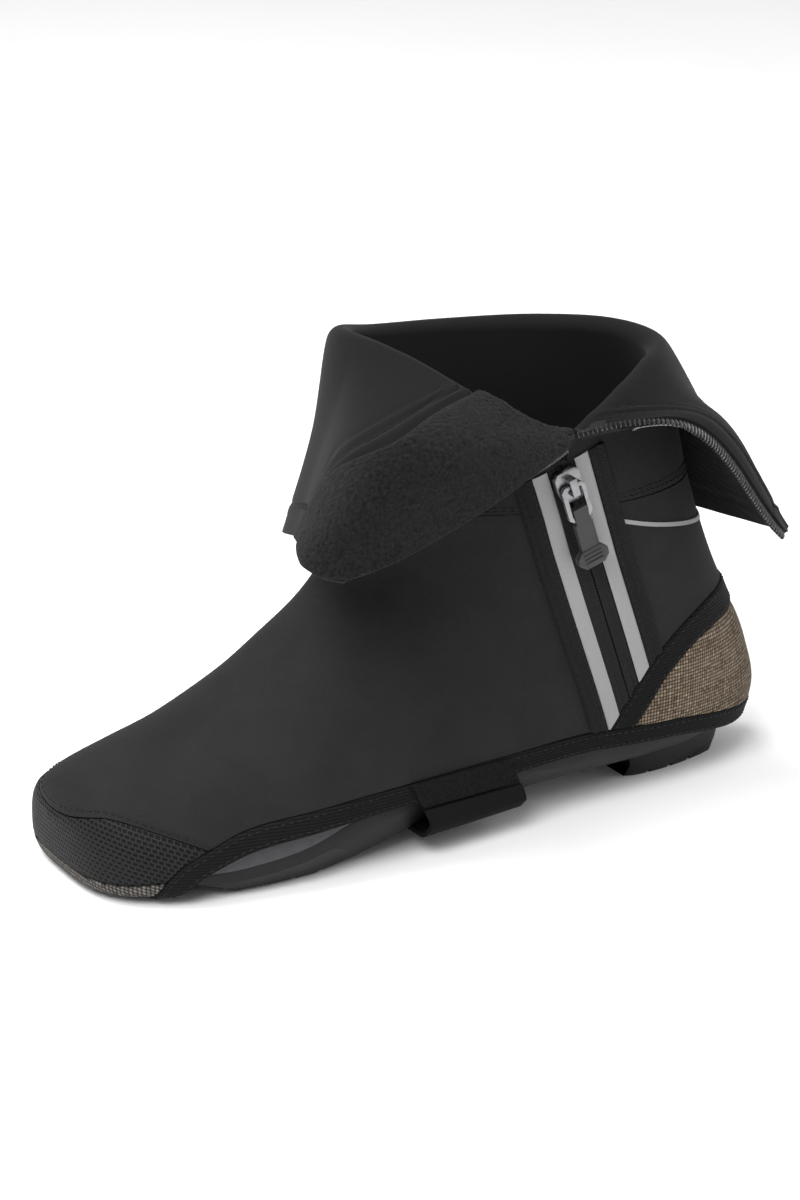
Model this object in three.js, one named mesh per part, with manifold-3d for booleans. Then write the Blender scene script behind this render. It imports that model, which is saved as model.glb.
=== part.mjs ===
// A zipped neoprene overshoe drawn over a stiff cycling sole, for the left foot, standing on that sole.
// The zip is half open and the collar is turned out, so its lining and its fleece wind flap show.
// Millimetres, +Z up, toe towards -X, outer (zip) side of the foot towards -Y.
import * as THREE from "three";
import { mergeVertices } from "three/addons/utils/BufferGeometryUtils.js";
import Module from "manifold-3d";

const wasm = await Module();
wasm.setup();

// Driving sizes of the cover
const COVER_LENGTH = 298; // toe tip to heel back
const BALL_WIDTH = 100; // over the ball of the foot
const SEAM_HEIGHT = 121; // floor to the ankle seam, at the shin
const WALL = 2.6; // neoprene
const CLEARANCE = 0.3; // between pieces that meet
const FOLD_RADIUS = 3; // of the collar's middle surface where it turns out

// Driving sizes of the trim
const EDGE_BAND = 7.5; // height of the binding round the lower edge
const BINDING_PROUD = 0.7; // how far a binding stands out of the neoprene
const COUNTER_BAND = 10; // width of the binding over the heel counter
const TAPE_HALF_WIDTH = 18.5; // zip centre line to the outer edge of its tape
const TAPE_THICKNESS = 0.9;
const SLIT_WIDTH = 0.6; // between the two halves of the closed zip
const CHAIN_HALF_WIDTH = 5.6; // zip centre line to the reflective stripe
const STRIPE_WIDTH = 5.8;
const STRIPE_THICKNESS = 0.4;
const COIL_WIDTH = 4; // one row of zip coil, as it shows on the turned-out edge
const COIL_HEIGHT = 2.2;
const COIL_PITCH = 4.4;
const FLEECE_THICKNESS = 2.4;
const FLEECE_OVERHANG = 4.8; // of the wind flap past the collar's front edge, over the coil
const FLEECE_COLUMNS = 4; // of the collar's own, under the wind flap

// Driving sizes of the sole unit
const RAND_WALL = 1.4;
const RAND_RISE = 13; // how far the grey wall stands above the sole
const INSOLE_THICKNESS = 3;
const GROOVE_DEPTH = 1.4;
const GROOVE_WIDTH = 2.8;
const GROOVE_PITCH = 11; // of the grooves across the forefoot
const GROOVE_FIRST = -0.322; // their place, as a share of the cover's length
const PAD_GROOVES = [0.322, 0.356, 0.389]; // and that of the heel pad's
const STRAP_THICKNESS = 1.5;

// Driving sizes of the slider and its pull
const SLIDER_LENGTH = 12;
const SLIDER_WIDTH = 10;
const PULL_WIDTH = 9.6;
const LINK_LENGTH = 14;
const LINK_WIRE = 1.6;
const GRIP_LENGTH = 19;
const GRIP_WIDTH = 7;
const KNUCKLE_WIDTH = 12;

// The tables hold shares of the cover's length, of its width over the ball and of the height of its ankle seam
const place = (along, across, up) => new THREE.Vector3(along * COVER_LENGTH, across * BALL_WIDTH, up * SEAM_HEIGHT);

// Sections of the cover, from the toe tip over the ankle seam to the collar's fold. Each section's plane runs
// from a foot point (on the sole or heel line) to a top point (on the instep or shin). widest is the share of
// its height where it is widest; crown and base are the powers of its upper and lower curves (2 is an ellipse).
const SECTION_COLUMNS = ["topX", "topZ", "footX", "footZ", "widest", "outer", "inner", "centre", "crown", "base"];
const SECTIONS = [
  [-0.450, 0.198, -0.448, 0.116, 0.5, 0.04, 0.04, 0.07, 2.2, 2.4],
  [-0.445, 0.248, -0.444, 0.045, 0.46, 0.175, 0.17, 0.07, 2.2, 3],
  [-0.433, 0.281, -0.435, 0.015, 0.43, 0.275, 0.265, 0.06, 2.2, 4],
  [-0.409, 0.302, -0.413, 0.011, 0.4, 0.355, 0.345, 0.045, 2.15, 4.8],
  [-0.376, 0.326, -0.376, 0.010, 0.38, 0.41, 0.41, 0.03, 2.1, 5],
  [-0.329, 0.364, -0.339, 0.010, 0.36, 0.45, 0.45, 0.015, 2.05, 4.6],
  [-0.272, 0.426, -0.282, -0.041, 0.33, 0.475, 0.48, 0.005, 2, 4],
  [-0.205, 0.521, -0.201, -0.050, 0.32, 0.5, 0.49, 0, 2, 4],
  [-0.151, 0.624, -0.111, -0.041, 0.33, 0.49, 0.47, 0, 2, 4],
  [-0.114, 0.715, 0.010, -0.025, 0.36, 0.465, 0.435, 0, 2, 3.6],
  [-0.094, 0.793, 0.161, -0.008, 0.41, 0.435, 0.41, 0, 2, 3.2],
  [-0.086, 0.855, 0.322, 0, 0.45, 0.415, 0.39, 0, 2, 2.7],
  [-0.082, 0.901, 0.450, 0.041, 0.48, 0.41, 0.39, 0, 2, 2.4],
  [-0.080, 0.930, 0.495, 0.182, 0.5, 0.41, 0.39, 0, 2, 2.2],
  [-0.078, 0.950, 0.485, 0.347, 0.5, 0.41, 0.39, 0, 2, 2.1],
  [-0.077, 0.967, 0.460, 0.504, 0.5, 0.41, 0.39, 0, 2, 2],
  [-0.075, 0.979, 0.431, 0.661, 0.5, 0.41, 0.39, 0, 2, 2],
  [-0.074, 0.990, 0.408, 0.810, 0.5, 0.415, 0.395, 0, 2, 2],
  [-0.074, 1.004, 0.391, 0.938, 0.5, 0.42, 0.4, 0, 2, 2],
  [-0.067, 1.231, 0.362, 1.157, 0.5, 0.43, 0.41, 0, 2, 2],
  [-0.052, 1.479, 0.329, 1.355, 0.5, 0.44, 0.42, 0, 2, 2],
];
const SEAM_STATION = 18;
const SECTION_STOPS = [0, 0.5, 1.1, 2, 3, 4, 5, 6, 7, 8, 9, 10, 11, 11.8, 12.4, 13, 13.8, 15, 16.5, 18];
const ANGLE_STEPS = 28;

// The turned-out collar, from the zip's front edge round the shin and the far side to its rear edge. turn is the
// angle round the leg in degrees, negative on the outer side; fold is the station of its fold line; mid and hem
// are points of the hanging part.
const COLLAR_COLUMNS = ["turn", "fold", "midX", "midY", "midZ", "hemX", "hemY", "hemZ"];
const COLLAR = [
  [-86, 19.02, 0.010, -0.62, 1.149, -0.188, -0.61, 0.950],
  [-77, 19.12, -0.067, -0.635, 1.248, -0.205, -0.57, 0.959],
  [-64, 19.37, -0.104, -0.6, 1.298, -0.215, -0.5, 0.975],
  [-45, 19.66, -0.124, -0.5, 1.306, -0.201, -0.4, 0.983],
  [-28, 19.87, -0.128, -0.34, 1.281, -0.174, -0.27, 0.959],
  [-8, 19.98, -0.107, -0.1, 1.240, -0.144, -0.06, 0.926],
  [25, 19.87, -0.067, 0.2, 1.157, -0.101, 0.26, 0.851],
  [60, 19.7, 0.030, 0.48, 1.107, 0.007, 0.52, 0.810],
  [95, 19.7, 0.151, 0.54, 1.091, 0.154, 0.58, 0.777],
  [130, 19.82, 0.275, 0.46, 1.091, 0.302, 0.49, 0.760],
  [165, 19.97, 0.372, 0.19, 1.083, 0.413, 0.22, 0.760],
  [195, 19.97, 0.396, -0.12, 1.091, 0.450, -0.14, 0.769],
  [225, 19.87, 0.369, -0.36, 1.140, 0.456, -0.34, 0.785],
  [247, 19.55, 0.329, -0.5, 1.198, 0.450, -0.45, 0.802],
  [262, 19.25, 0.292, -0.58, 1.231, 0.440, -0.5, 0.802],
  [272, 19.02, 0.268, -0.61, 1.236, 0.433, -0.52, 0.810],
];

// Sole: shape of its underside and the line where its flank ends
const SOLE_COLUMNS = ["along", "under", "edge", "outerUnder", "innerUnder", "outerEdge", "innerEdge", "centre"];
const SOLE = [
  [-0.440, 0.066, 0.099, 0.05, 0.05, 0.09, 0.09, 0.07],
  [-0.428, 0.050, 0.095, 0.17, 0.17, 0.22, 0.22, 0.065],
  [-0.406, 0.036, 0.091, 0.26, 0.26, 0.32, 0.32, 0.045],
  [-0.372, 0.025, 0.087, 0.32, 0.34, 0.38, 0.4, 0.03],
  [-0.332, 0, 0.087, 0.36, 0.38, 0.44, 0.45, 0.015],
  [-0.279, 0, 0.095, 0.385, 0.41, 0.46, 0.47, 0.005],
  [-0.211, 0, 0.124, 0.39, 0.415, 0.48, 0.48, 0],
  [-0.154, 0, 0.169, 0.38, 0.39, 0.475, 0.46, 0],
  [-0.087, 0.045, 0.207, 0.365, 0.35, 0.46, 0.43, 0],
  [0.013, 0.088, 0.227, 0.35, 0.31, 0.44, 0.4, 0],
  [0.121, 0.099, 0.223, 0.33, 0.3, 0.42, 0.38, 0],
  [0.235, 0.096, 0.211, 0.3, 0.29, 0.4, 0.37, 0],
  [0.329, 0.093, 0.198, 0.275, 0.28, 0.37, 0.36, 0],
  [0.389, 0.098, 0.190, 0.23, 0.24, 0.31, 0.31, 0],
  [0.433, 0.104, 0.182, 0.16, 0.17, 0.25, 0.25, 0],
  [0.460, 0.114, 0.178, 0.05, 0.05, 0.12, 0.12, 0],
];

// Heel pad
const PAD_COLUMNS = ["along", "half", "lean"];
const PAD = [
  [0.282, 0.2, 0.045],
  [0.302, 0.225, 0.045],
  [0.336, 0.225, 0.045],
  [0.372, 0.205, 0.04],
  [0.411, 0.17, 0.035],
  [0.441, 0.125, 0.025],
];

// A smooth value between the rows of a table, at a fractional row number
function between(rows, column, at) {
  const row = Math.max(0, Math.min(Math.floor(at), rows.length - 2));
  const pick = (k) => rows[Math.max(0, Math.min(rows.length - 1, k))][column];
  const [a, b, c, d] = [pick(row - 1), pick(row), pick(row + 1), pick(row + 2)];
  const t = at - row;
  return b + 0.5 * t * (c - a + t * (2 * a - 5 * b + 4 * c - d + t * (3 * (b - c) + d - a)));
}
const reader = (rows, columns) => (name, at) => between(rows, columns.indexOf(name), at);
const section = reader(SECTIONS, SECTION_COLUMNS);
const collar = reader(COLLAR, COLLAR_COLUMNS);
const sole = reader(SOLE, SOLE_COLUMNS);
const pad = reader(PAD, PAD_COLUMNS);
const LAST_STATION = SECTIONS.length - 1;

// A point of the cover's outer form. angle is 0 on the top line and PI on the sole or heel line
function formPoint(station, angle) {
  const at = (name) => section(name, station);
  const turned = Math.atan2(Math.sin(angle), Math.cos(angle));
  const turn = Math.abs(turned);
  const upper = turn <= Math.PI / 2;
  const power = 2 / (upper ? at("crown") : at("base"));
  const across = Math.max(0, Math.sin(turn)) ** power;
  const along = Math.abs(Math.cos(turn)) ** power;
  const rise = upper ? at("widest") + (1 - at("widest")) * along : at("widest") * (1 - along);
  return place(
    at("footX") + (at("topX") - at("footX")) * rise,
    at("centre") + (turned < 0 ? -at("outer") : at("inner")) * across,
    at("footZ") + (at("topZ") - at("footZ")) * rise,
  );
}

const NUDGE = 0.02; // for the differences that give a normal
function formNormal(station, angle) {
  const at = Math.max(NUDGE, Math.min(LAST_STATION - NUDGE, station));
  const along = formPoint(at + NUDGE, angle).sub(formPoint(at - NUDGE, angle));
  const round = formPoint(at, angle + NUDGE).sub(formPoint(at, angle - NUDGE));
  return along.cross(round).normalize();
}
// The part of that normal that lies in the section's own plane
function inSectionPlane(station, angle) {
  const chord = formPoint(station, 0).sub(formPoint(station, Math.PI));
  const across = new THREE.Vector3(-chord.z, 0, chord.x).normalize();
  const normal = formNormal(station, angle);
  return normal.addScaledVector(across, -normal.dot(across)).normalize();
}
const offsetPoint = (station, angle, offset) => formPoint(station, angle).addScaledVector(formNormal(station, angle), offset);

// The station and angle of the outer side's point that is seen at (px, pz) in side view
function locate(px, pz, side = -1) {
  let low = 1;
  let high = LAST_STATION;
  const lineSide = (station) => {
    const top = formPoint(station, 0);
    const foot = formPoint(station, Math.PI);
    return (top.x - foot.x) * (pz - foot.z) - (top.z - foot.z) * (px - foot.x);
  };
  for (let k = 0; k < 40; k++) {
    const middle = (low + high) / 2;
    if (lineSide(middle) < 0) low = middle;
    else high = middle;
  }
  const station = (low + high) / 2;
  let [near, far] = [0.01, Math.PI - 0.01];
  const top = formPoint(station, 0);
  const foot = formPoint(station, Math.PI);
  const axis = foot.clone().sub(top);
  for (let k = 0; k < 40; k++) {
    const middle = (near + far) / 2;
    const p = formPoint(station, side * middle);
    if ((px - p.x) * axis.x + (pz - p.z) * axis.z > 0) near = middle;
    else far = middle;
  }
  return { station, angle: (side * (near + far)) / 2 };
}

function geometryOf(positions, index) {
  const geometry = new THREE.BufferGeometry();
  geometry.setAttribute("position", new THREE.Float32BufferAttribute(positions, 3));
  geometry.setIndex(index);
  return geometry;
}

function solidOf(geometry) {
  const bare = geometry.clone();
  bare.deleteAttribute("normal");
  bare.deleteAttribute("uv");
  const merged = mergeVertices(bare, 1e-4);
  const triangles = Array.from(merged.index.array);
  const build = (list) =>
    new wasm.Manifold(
      new wasm.Mesh({
        numProp: 3,
        vertProperties: new Float32Array(merged.attributes.position.array),
        triVerts: new Uint32Array(list),
      }),
    );
  const solid = build(triangles);
  if (solid.volume() > 0) return solid;
  for (let k = 0; k < triangles.length; k += 3) {
    const first = triangles[k];
    triangles[k] = triangles[k + 1];
    triangles[k + 1] = first;
  }
  return build(triangles);
}

// The closed volume between rings of equal count, with a fan over each end
function ringSolid(rings) {
  const count = rings[0].length;
  const positions = rings.flat().flatMap((p) => [p.x, p.y, p.z]);
  const index = [];
  for (let k = 0; k + 1 < rings.length; k++)
    for (let j = 0; j < count; j++) {
      const a = k * count + j;
      const b = k * count + ((j + 1) % count);
      index.push(a, b, a + count, b, b + count, a + count);
    }
  for (const k of [0, rings.length - 1]) {
    const middle = rings[k].reduce((sum, p) => sum.add(p), new THREE.Vector3()).divideScalar(count);
    const hub = positions.length / 3;
    positions.push(middle.x, middle.y, middle.z);
    for (let j = 0; j < count; j++) {
      const a = k * count + j;
      const b = k * count + ((j + 1) % count);
      index.push(...(k === 0 ? [b, a, hub] : [a, b, hub]));
    }
  }
  return solidOf(geometryOf(positions, index));
}

// A closed sheet between two faces, each a grid of points
function sheetSolid(front, back) {
  const rows = front.length;
  const columns = front[0].length;
  const positions = [...front.flat(), ...back.flat()].flatMap((p) => [p.x, p.y, p.z]);
  const index = [];
  const at = (face, i, j) => (face * rows + i) * columns + j;
  const quad = (a, b, c, d) => index.push(a, b, c, a, c, d);
  for (let i = 0; i + 1 < rows; i++)
    for (let j = 0; j + 1 < columns; j++) {
      quad(at(0, i, j), at(0, i, j + 1), at(0, i + 1, j + 1), at(0, i + 1, j));
      quad(at(1, i, j), at(1, i + 1, j), at(1, i + 1, j + 1), at(1, i, j + 1));
    }
  for (let i = 0; i + 1 < rows; i++) {
    quad(at(0, i, 0), at(0, i + 1, 0), at(1, i + 1, 0), at(1, i, 0));
    quad(at(0, i, columns - 1), at(1, i, columns - 1), at(1, i + 1, columns - 1), at(0, i + 1, columns - 1));
  }
  for (let j = 0; j + 1 < columns; j++) {
    quad(at(0, 0, j), at(1, 0, j), at(1, 0, j + 1), at(0, 0, j + 1));
    quad(at(0, rows - 1, j), at(0, rows - 1, j + 1), at(1, rows - 1, j + 1), at(1, rows - 1, j));
  }
  return solidOf(geometryOf(positions, index));
}

// The cover's form as a closed volume, grown by offset, up to the ankle seam or to a station above it
const ANGLES = Array.from({ length: ANGLE_STEPS }, (_, j) => -Math.PI + (2 * Math.PI * j) / ANGLE_STEPS);
const halved = (list) => list.filter((_, k) => k % 2 === 0);
function formSolid(offset, beyond = [], coarse = false) {
  const stops = coarse ? [...halved(SECTION_STOPS), SEAM_STATION] : SECTION_STOPS;
  const angles = coarse ? halved(ANGLES) : ANGLES;
  const rings = [...stops, ...beyond].map((station) => angles.map((angle) => offsetPoint(station, angle, offset)));
  rings[0] = angles.map((angle) => formPoint(0, angle).add(new THREE.Vector3(-offset, 0, 0)));
  return ringSolid(rings);
}

// A prism across the foot between two lines of equal count, seen from the side
function sidePrism(line, other, yLow = -2 * BALL_WIDTH, yHigh = 2 * BALL_WIDTH) {
  const face = (y) => line.map(([px, pz], k) => [new THREE.Vector3(px, y, pz), new THREE.Vector3(other[k][0], y, other[k][1])]);
  return sheetSolid(face(yLow), face(yHigh));
}

// Lines seen from the side, as shares of the cover's length and of the seam's height
const sideLine = (points, count) =>
  new THREE.SplineCurve(points.map(([px, pz]) => new THREE.Vector2(px * COVER_LENGTH, pz * SEAM_HEIGHT)))
    .getPoints(count)
    .map((p) => [p.x, p.y]);
const LOWER_EDGE = sideLine(
  [
    [-0.364, -0.083], [-0.362, 0.008], [-0.346, 0.074], [-0.322, 0.112], [-0.282, 0.149], [-0.221, 0.172],
    [-0.117, 0.190], [0.070, 0.197], [0.174, 0.202], [0.262, 0.182], [0.329, 0.169], [0.389, 0.145], [0.453, 0.120],
    [0.570, 0.107],
  ],
  25,
);
const TOE_SEAM = sideLine(
  [
    [-0.554, 0.124], [-0.473, 0.161], [-0.453, 0.201], [-0.435, 0.236], [-0.413, 0.243], [-0.379, 0.219],
    [-0.332, 0.171], [-0.302, 0.120],
  ],
  14,
);
const GUARD_SEAM = sideLine([[-0.554, 0.041], [-0.470, 0.054], [-0.419, 0.066], [-0.366, 0.083], [-0.336, 0.091]], 7);
const COUNTER_LINE = sideLine(
  [
    [0.181, 0.132], [0.208, 0.231], [0.248, 0.364], [0.279, 0.455], [0.322, 0.529], [0.366, 0.566], [0.409, 0.579],
    [0.470, 0.579], [0.587, 0.570],
  ],
  16,
);
// The line moved sideways, to the left of its own direction
function shifted(line, distance) {
  return line.map((point, k) => {
    const before = line[Math.max(0, k - 1)];
    const after = line[Math.min(line.length - 1, k + 1)];
    const length = Math.hypot(after[0] - before[0], after[1] - before[1]);
    return [point[0] - ((after[1] - before[1]) / length) * distance, point[1] + ((after[0] - before[0]) / length) * distance];
  });
}
const FAR = 2 * COVER_LENGTH;
const beneath = (line) => sidePrism(line, line.map(([px]) => [px, -FAR]));
// Everything above a line, and everything in front of its first point
const above = (line) =>
  sidePrism(
    line,
    line.map(([px, pz], k) => {
      const swing = (Math.PI / 2) * (k / (line.length - 1));
      return [px - FAR * Math.cos(swing), pz + FAR * Math.sin(swing)];
    }),
  );
const strip = (line, near, far, yHigh) => sidePrism(shifted(line, near), shifted(line, far), undefined, yHigh);

const model = new THREE.Group();
const NEOPRENE = { color: 0x232324, roughness: 0.85, metalness: 0 };
const LINING = { color: 0x2b2b2c, roughness: 0.9, metalness: 0 };
const BINDING = { color: 0x19191a, roughness: 0.9, metalness: 0 };
const MESH_PANEL = { color: 0x303030, roughness: 0.7, metalness: 0 };
const WOVEN = { color: 0x82715f, roughness: 0.9, metalness: 0 };
const TAPE = { color: 0x353536, roughness: 0.8, metalness: 0 };
const CHAIN = { color: 0x202021, roughness: 0.7, metalness: 0 };
const REFLECTIVE = { color: 0xa6a6a7, roughness: 0.45, metalness: 0.1 };
const FLEECE = { color: 0x2a2a2b, roughness: 1, metalness: 0 };
const SOLE_RUBBER = { color: 0x1f1f20, roughness: 0.55, metalness: 0 };
const RAND = { color: 0x57575a, roughness: 0.5, metalness: 0 };
const FOOTBED = { color: 0x2d2d2e, roughness: 0.9, metalness: 0 };
const NICKEL = { color: 0xb9b9bb, roughness: 0.3, metalness: 1 };
const GRIP = { color: 0x3c3c3d, roughness: 0.6, metalness: 0 };

function addMesh(name, solid, look) {
  const { vertProperties, triVerts } = solid.getMesh();
  const mesh = new THREE.Mesh(geometryOf(Array.from(vertProperties), Array.from(triVerts)), new THREE.MeshStandardMaterial(look));
  mesh.name = name;
  model.add(mesh);
}

// The zip's line, seen from the side: it climbs forward from the counter to the slider
const ZIP_LOW = [0.265 * COVER_LENGTH, 0.174 * SEAM_HEIGHT];
const ZIP_HIGH = [0.131 * COVER_LENGTH, 1.140 * SEAM_HEIGHT];
const zipLength = Math.hypot(ZIP_HIGH[0] - ZIP_LOW[0], ZIP_HIGH[1] - ZIP_LOW[1]);
const zipAt = (along) => [
  ZIP_LOW[0] + ((ZIP_HIGH[0] - ZIP_LOW[0]) * along) / zipLength,
  ZIP_LOW[1] + ((ZIP_HIGH[1] - ZIP_LOW[1]) * along) / zipLength,
];
// A prism over the outer side that follows the zip, between two distances from it (the front is negative)
function zipBand(from, to, low = -30, high = zipLength) {
  const across = [(ZIP_HIGH[1] - ZIP_LOW[1]) / zipLength, -(ZIP_HIGH[0] - ZIP_LOW[0]) / zipLength];
  const corner = (side, along) => [zipAt(along)[0] + side * across[0], zipAt(along)[1] + side * across[1]];
  return sidePrism([corner(from, low), corner(from, high)], [corner(to, low), corner(to, high)], -2 * BALL_WIDTH, 0);
}

const SHAFT_STOPS = [18.3, 18.6, 19];
const OUTSIDE = formSolid(0);
const shell = OUTSIDE.subtract(formSolid(-WALL, [18.3]));
const layer = (low, high) => formSolid(high, SHAFT_STOPS).subtract(formSolid(low, [...SHAFT_STOPS, 19.3]));
const panelRegion = above(shifted(LOWER_EDGE, EDGE_BAND + CLEARANCE));
const bandRegion = above(LOWER_EDGE).subtract(above(shifted(LOWER_EDGE, EDGE_BAND)));
const counterBand = beneath(COUNTER_LINE).subtract(beneath(shifted(COUNTER_LINE, -COUNTER_BAND)));

function makeCover() {
  const toeRegion = beneath(TOE_SEAM);
  const upper = shell
    .intersect(panelRegion)
    .subtract(beneath(shifted(TOE_SEAM, CLEARANCE)))
    .subtract(beneath(shifted(COUNTER_LINE, CLEARANCE)))
    .subtract(zipBand(-CHAIN_HALF_WIDTH, CHAIN_HALF_WIDTH, -30, zipLength + 30));
  addMesh("upper", upper, NEOPRENE);
  const toe = shell.intersect(panelRegion).intersect(toeRegion);
  addMesh("toe_panel", toe.subtract(beneath(GUARD_SEAM)), MESH_PANEL);
  addMesh("toe_guard", toe.intersect(beneath(shifted(GUARD_SEAM, -CLEARANCE))), WOVEN);
  const proud = formSolid(BINDING_PROUD).subtract(formSolid(-WALL, [18.3]));
  addMesh("lower_binding", proud.intersect(bandRegion), BINDING);
  addMesh("counter_binding", proud.intersect(panelRegion).intersect(counterBand), BINDING);
  const counter = shell.intersect(panelRegion).intersect(beneath(shifted(COUNTER_LINE, -COUNTER_BAND - CLEARANCE)));
  addMesh("heel_counter", counter, WOVEN);
}

function makeZip() {
  const region = panelRegion.subtract(beneath(shifted(COUNTER_LINE, CLEARANCE)));
  const chain = formSolid(0.1).subtract(formSolid(-WALL, [18.3])).intersect(region);
  const half = CHAIN_HALF_WIDTH - CLEARANCE;
  addMesh("zip_half_front", chain.intersect(zipBand(-half, -SLIT_WIDTH / 2, -30, zipLength - 3)), CHAIN);
  addMesh("zip_half_rear", chain.intersect(zipBand(SLIT_WIDTH / 2, half, -30, zipLength - 3)), CHAIN);
  const stripe = layer(CLEARANCE, CLEARANCE + STRIPE_THICKNESS).intersect(region);
  const stripeEdge = CHAIN_HALF_WIDTH + STRIPE_WIDTH;
  addMesh("stripe_front", stripe.intersect(zipBand(-stripeEdge, -CHAIN_HALF_WIDTH, -30, zipLength - 3)), REFLECTIVE);
  addMesh("stripe_rear", stripe.intersect(zipBand(CHAIN_HALF_WIDTH, stripeEdge, -30, zipLength - 3)), REFLECTIVE);
  const tape = layer(CLEARANCE, CLEARANCE + TAPE_THICKNESS).intersect(region);
  const tapeInner = stripeEdge + CLEARANCE;
  addMesh("tape_front", tape.intersect(zipBand(-TAPE_HALF_WIDTH, -tapeInner, -30, zipLength - 3)), TAPE);
  addMesh("tape_rear", tape.intersect(zipBand(tapeInner, TAPE_HALF_WIDTH, -30, zipLength - 3)), TAPE);
}

// Collar: rows run from the ankle seam up the leg, over the fold and down to the hem
const COLLAR_TURNS = COLLAR.map((row) => row[0]);
function collarAt(turn) {
  let row = 0;
  while (row + 2 < COLLAR.length && COLLAR_TURNS[row + 1] <= turn) row++;
  return row + (turn - COLLAR_TURNS[row]) / (COLLAR_TURNS[row + 1] - COLLAR_TURNS[row]);
}
const radians = THREE.MathUtils.degToRad;
const foldPoint = (turn) => offsetPoint(collar("fold", collarAt(turn)), radians(turn), -WALL / 2);
const RISE_ROWS = 3;
const FOLD_ROWS = 4;
const HANG_ROWS = 6;

function collarCurve(turn) {
  const at = collarAt(turn);
  const fold = collar("fold", at);
  const angle = radians(turn);
  const seamStation = SEAM_STATION + 0.02;
  const normal = formNormal(fold, angle);
  const [first, last] = [COLLAR_TURNS[0], COLLAR_TURNS.at(-1)];
  const along = foldPoint(Math.min(turn + 1, last)).sub(foldPoint(Math.max(turn - 1, first))).normalize();
  const up = along.clone().cross(normal).normalize();
  if (up.z < 0) up.negate();
  const crest = foldPoint(turn);
  const start = crest.clone().addScaledVector(up, -FOLD_RADIUS);
  const points = [];
  const seamPoint = formPoint(seamStation, angle).addScaledVector(inSectionPlane(seamStation, angle), -WALL / 2);
  for (let k = 0; k < RISE_ROWS; k++) {
    const share = k / RISE_ROWS;
    const onForm = k === 0 ? seamPoint.clone() : offsetPoint(seamStation + (fold - seamStation) * share, angle, -WALL / 2);
    points.push(onForm.lerp(seamPoint.clone().lerp(start, share), share * share));
  }
  for (let k = 0; k <= FOLD_ROWS; k++) {
    const bend = (Math.PI * k) / FOLD_ROWS;
    points.push(
      start
        .clone()
        .addScaledVector(up, FOLD_RADIUS * Math.sin(bend))
        .addScaledVector(normal, FOLD_RADIUS * (1 - Math.cos(bend))),
    );
  }
  const mid = place(collar("midX", at), collar("midY", at), collar("midZ", at));
  const hem = place(collar("hemX", at), collar("hemY", at), collar("hemZ", at));
  const hang = new THREE.CatmullRomCurve3([points.at(-2), points.at(-1), mid, hem], false, "centripetal");
  for (let k = 1; k <= HANG_ROWS; k++) points.push(hang.getPoint((1 + (2 * k) / HANG_ROWS) / 3));
  return points;
}

const COLLAR_TURN_STOPS = [
  -86, -82, -77, -71, -64, -55, -45, -36, -28, -18, -8, 8, 25, 42, 60, 78, 95, 112, 130, 148, 165, 180, 195, 210, 225,
  236, 247, 255, 262, 267, 272,
];
const collarGrid = COLLAR_TURN_STOPS.map(collarCurve);
const collarNormals = collarGrid.map((column, i) =>
  column.map((_, j) => {
    const turn = COLLAR_TURN_STOPS[i];
    if (j < RISE_ROWS) return inSectionPlane(SEAM_STATION + j / RISE_ROWS, radians(turn)).negate();
    const before = collarGrid[Math.max(0, i - 1)][j];
    const after = collarGrid[Math.min(collarGrid.length - 1, i + 1)][j];
    const low = column[Math.max(0, j - 1)];
    const high = column[Math.min(column.length - 1, j + 1)];
    return after.clone().sub(before).cross(high.clone().sub(low)).normalize();
  }),
);
// A patch of the collar, lifted off its middle surface; positive is its lining side
function collarPatch(columns, rows, low, high) {
  const face = (offset) =>
    columns.map((i) => rows.map((j) => collarGrid[i][j].clone().addScaledVector(collarNormals[i][j], offset)));
  return sheetSolid(face(low), face(high));
}
const span = (from, to) => Array.from({ length: to - from + 1 }, (_, k) => from + k);

function makeCollar() {
  const lastColumn = COLLAR_TURN_STOPS.length - 1;
  const lastRow = collarGrid[0].length - 1;
  addMesh("collar", collarPatch(span(0, lastColumn), span(0, lastRow), -WALL / 2, WALL / 2), LINING);
  const rows = span(RISE_ROWS + 2, lastRow);
  const low = WALL / 2 + CLEARANCE;
  const face = (offset) => {
    const columns = span(0, FLEECE_COLUMNS).map((i) => rows.map((j) => collarGrid[i][j].clone().addScaledVector(collarNormals[i][j], offset)));
    const overhang = columns[0].map((p, k) => {
      const away = p.clone().sub(columns[1][k]);
      return p.clone().addScaledVector(away.normalize(), k < 3 ? 0.1 : FLEECE_OVERHANG * (1 - 0.7 * (k / (rows.length - 1)) ** 8));
    });
    return [overhang, ...columns];
  };
  addMesh("wind_flap", sheetSolid(face(low), face(low + FLEECE_THICKNESS)), FLEECE);
}

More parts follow.
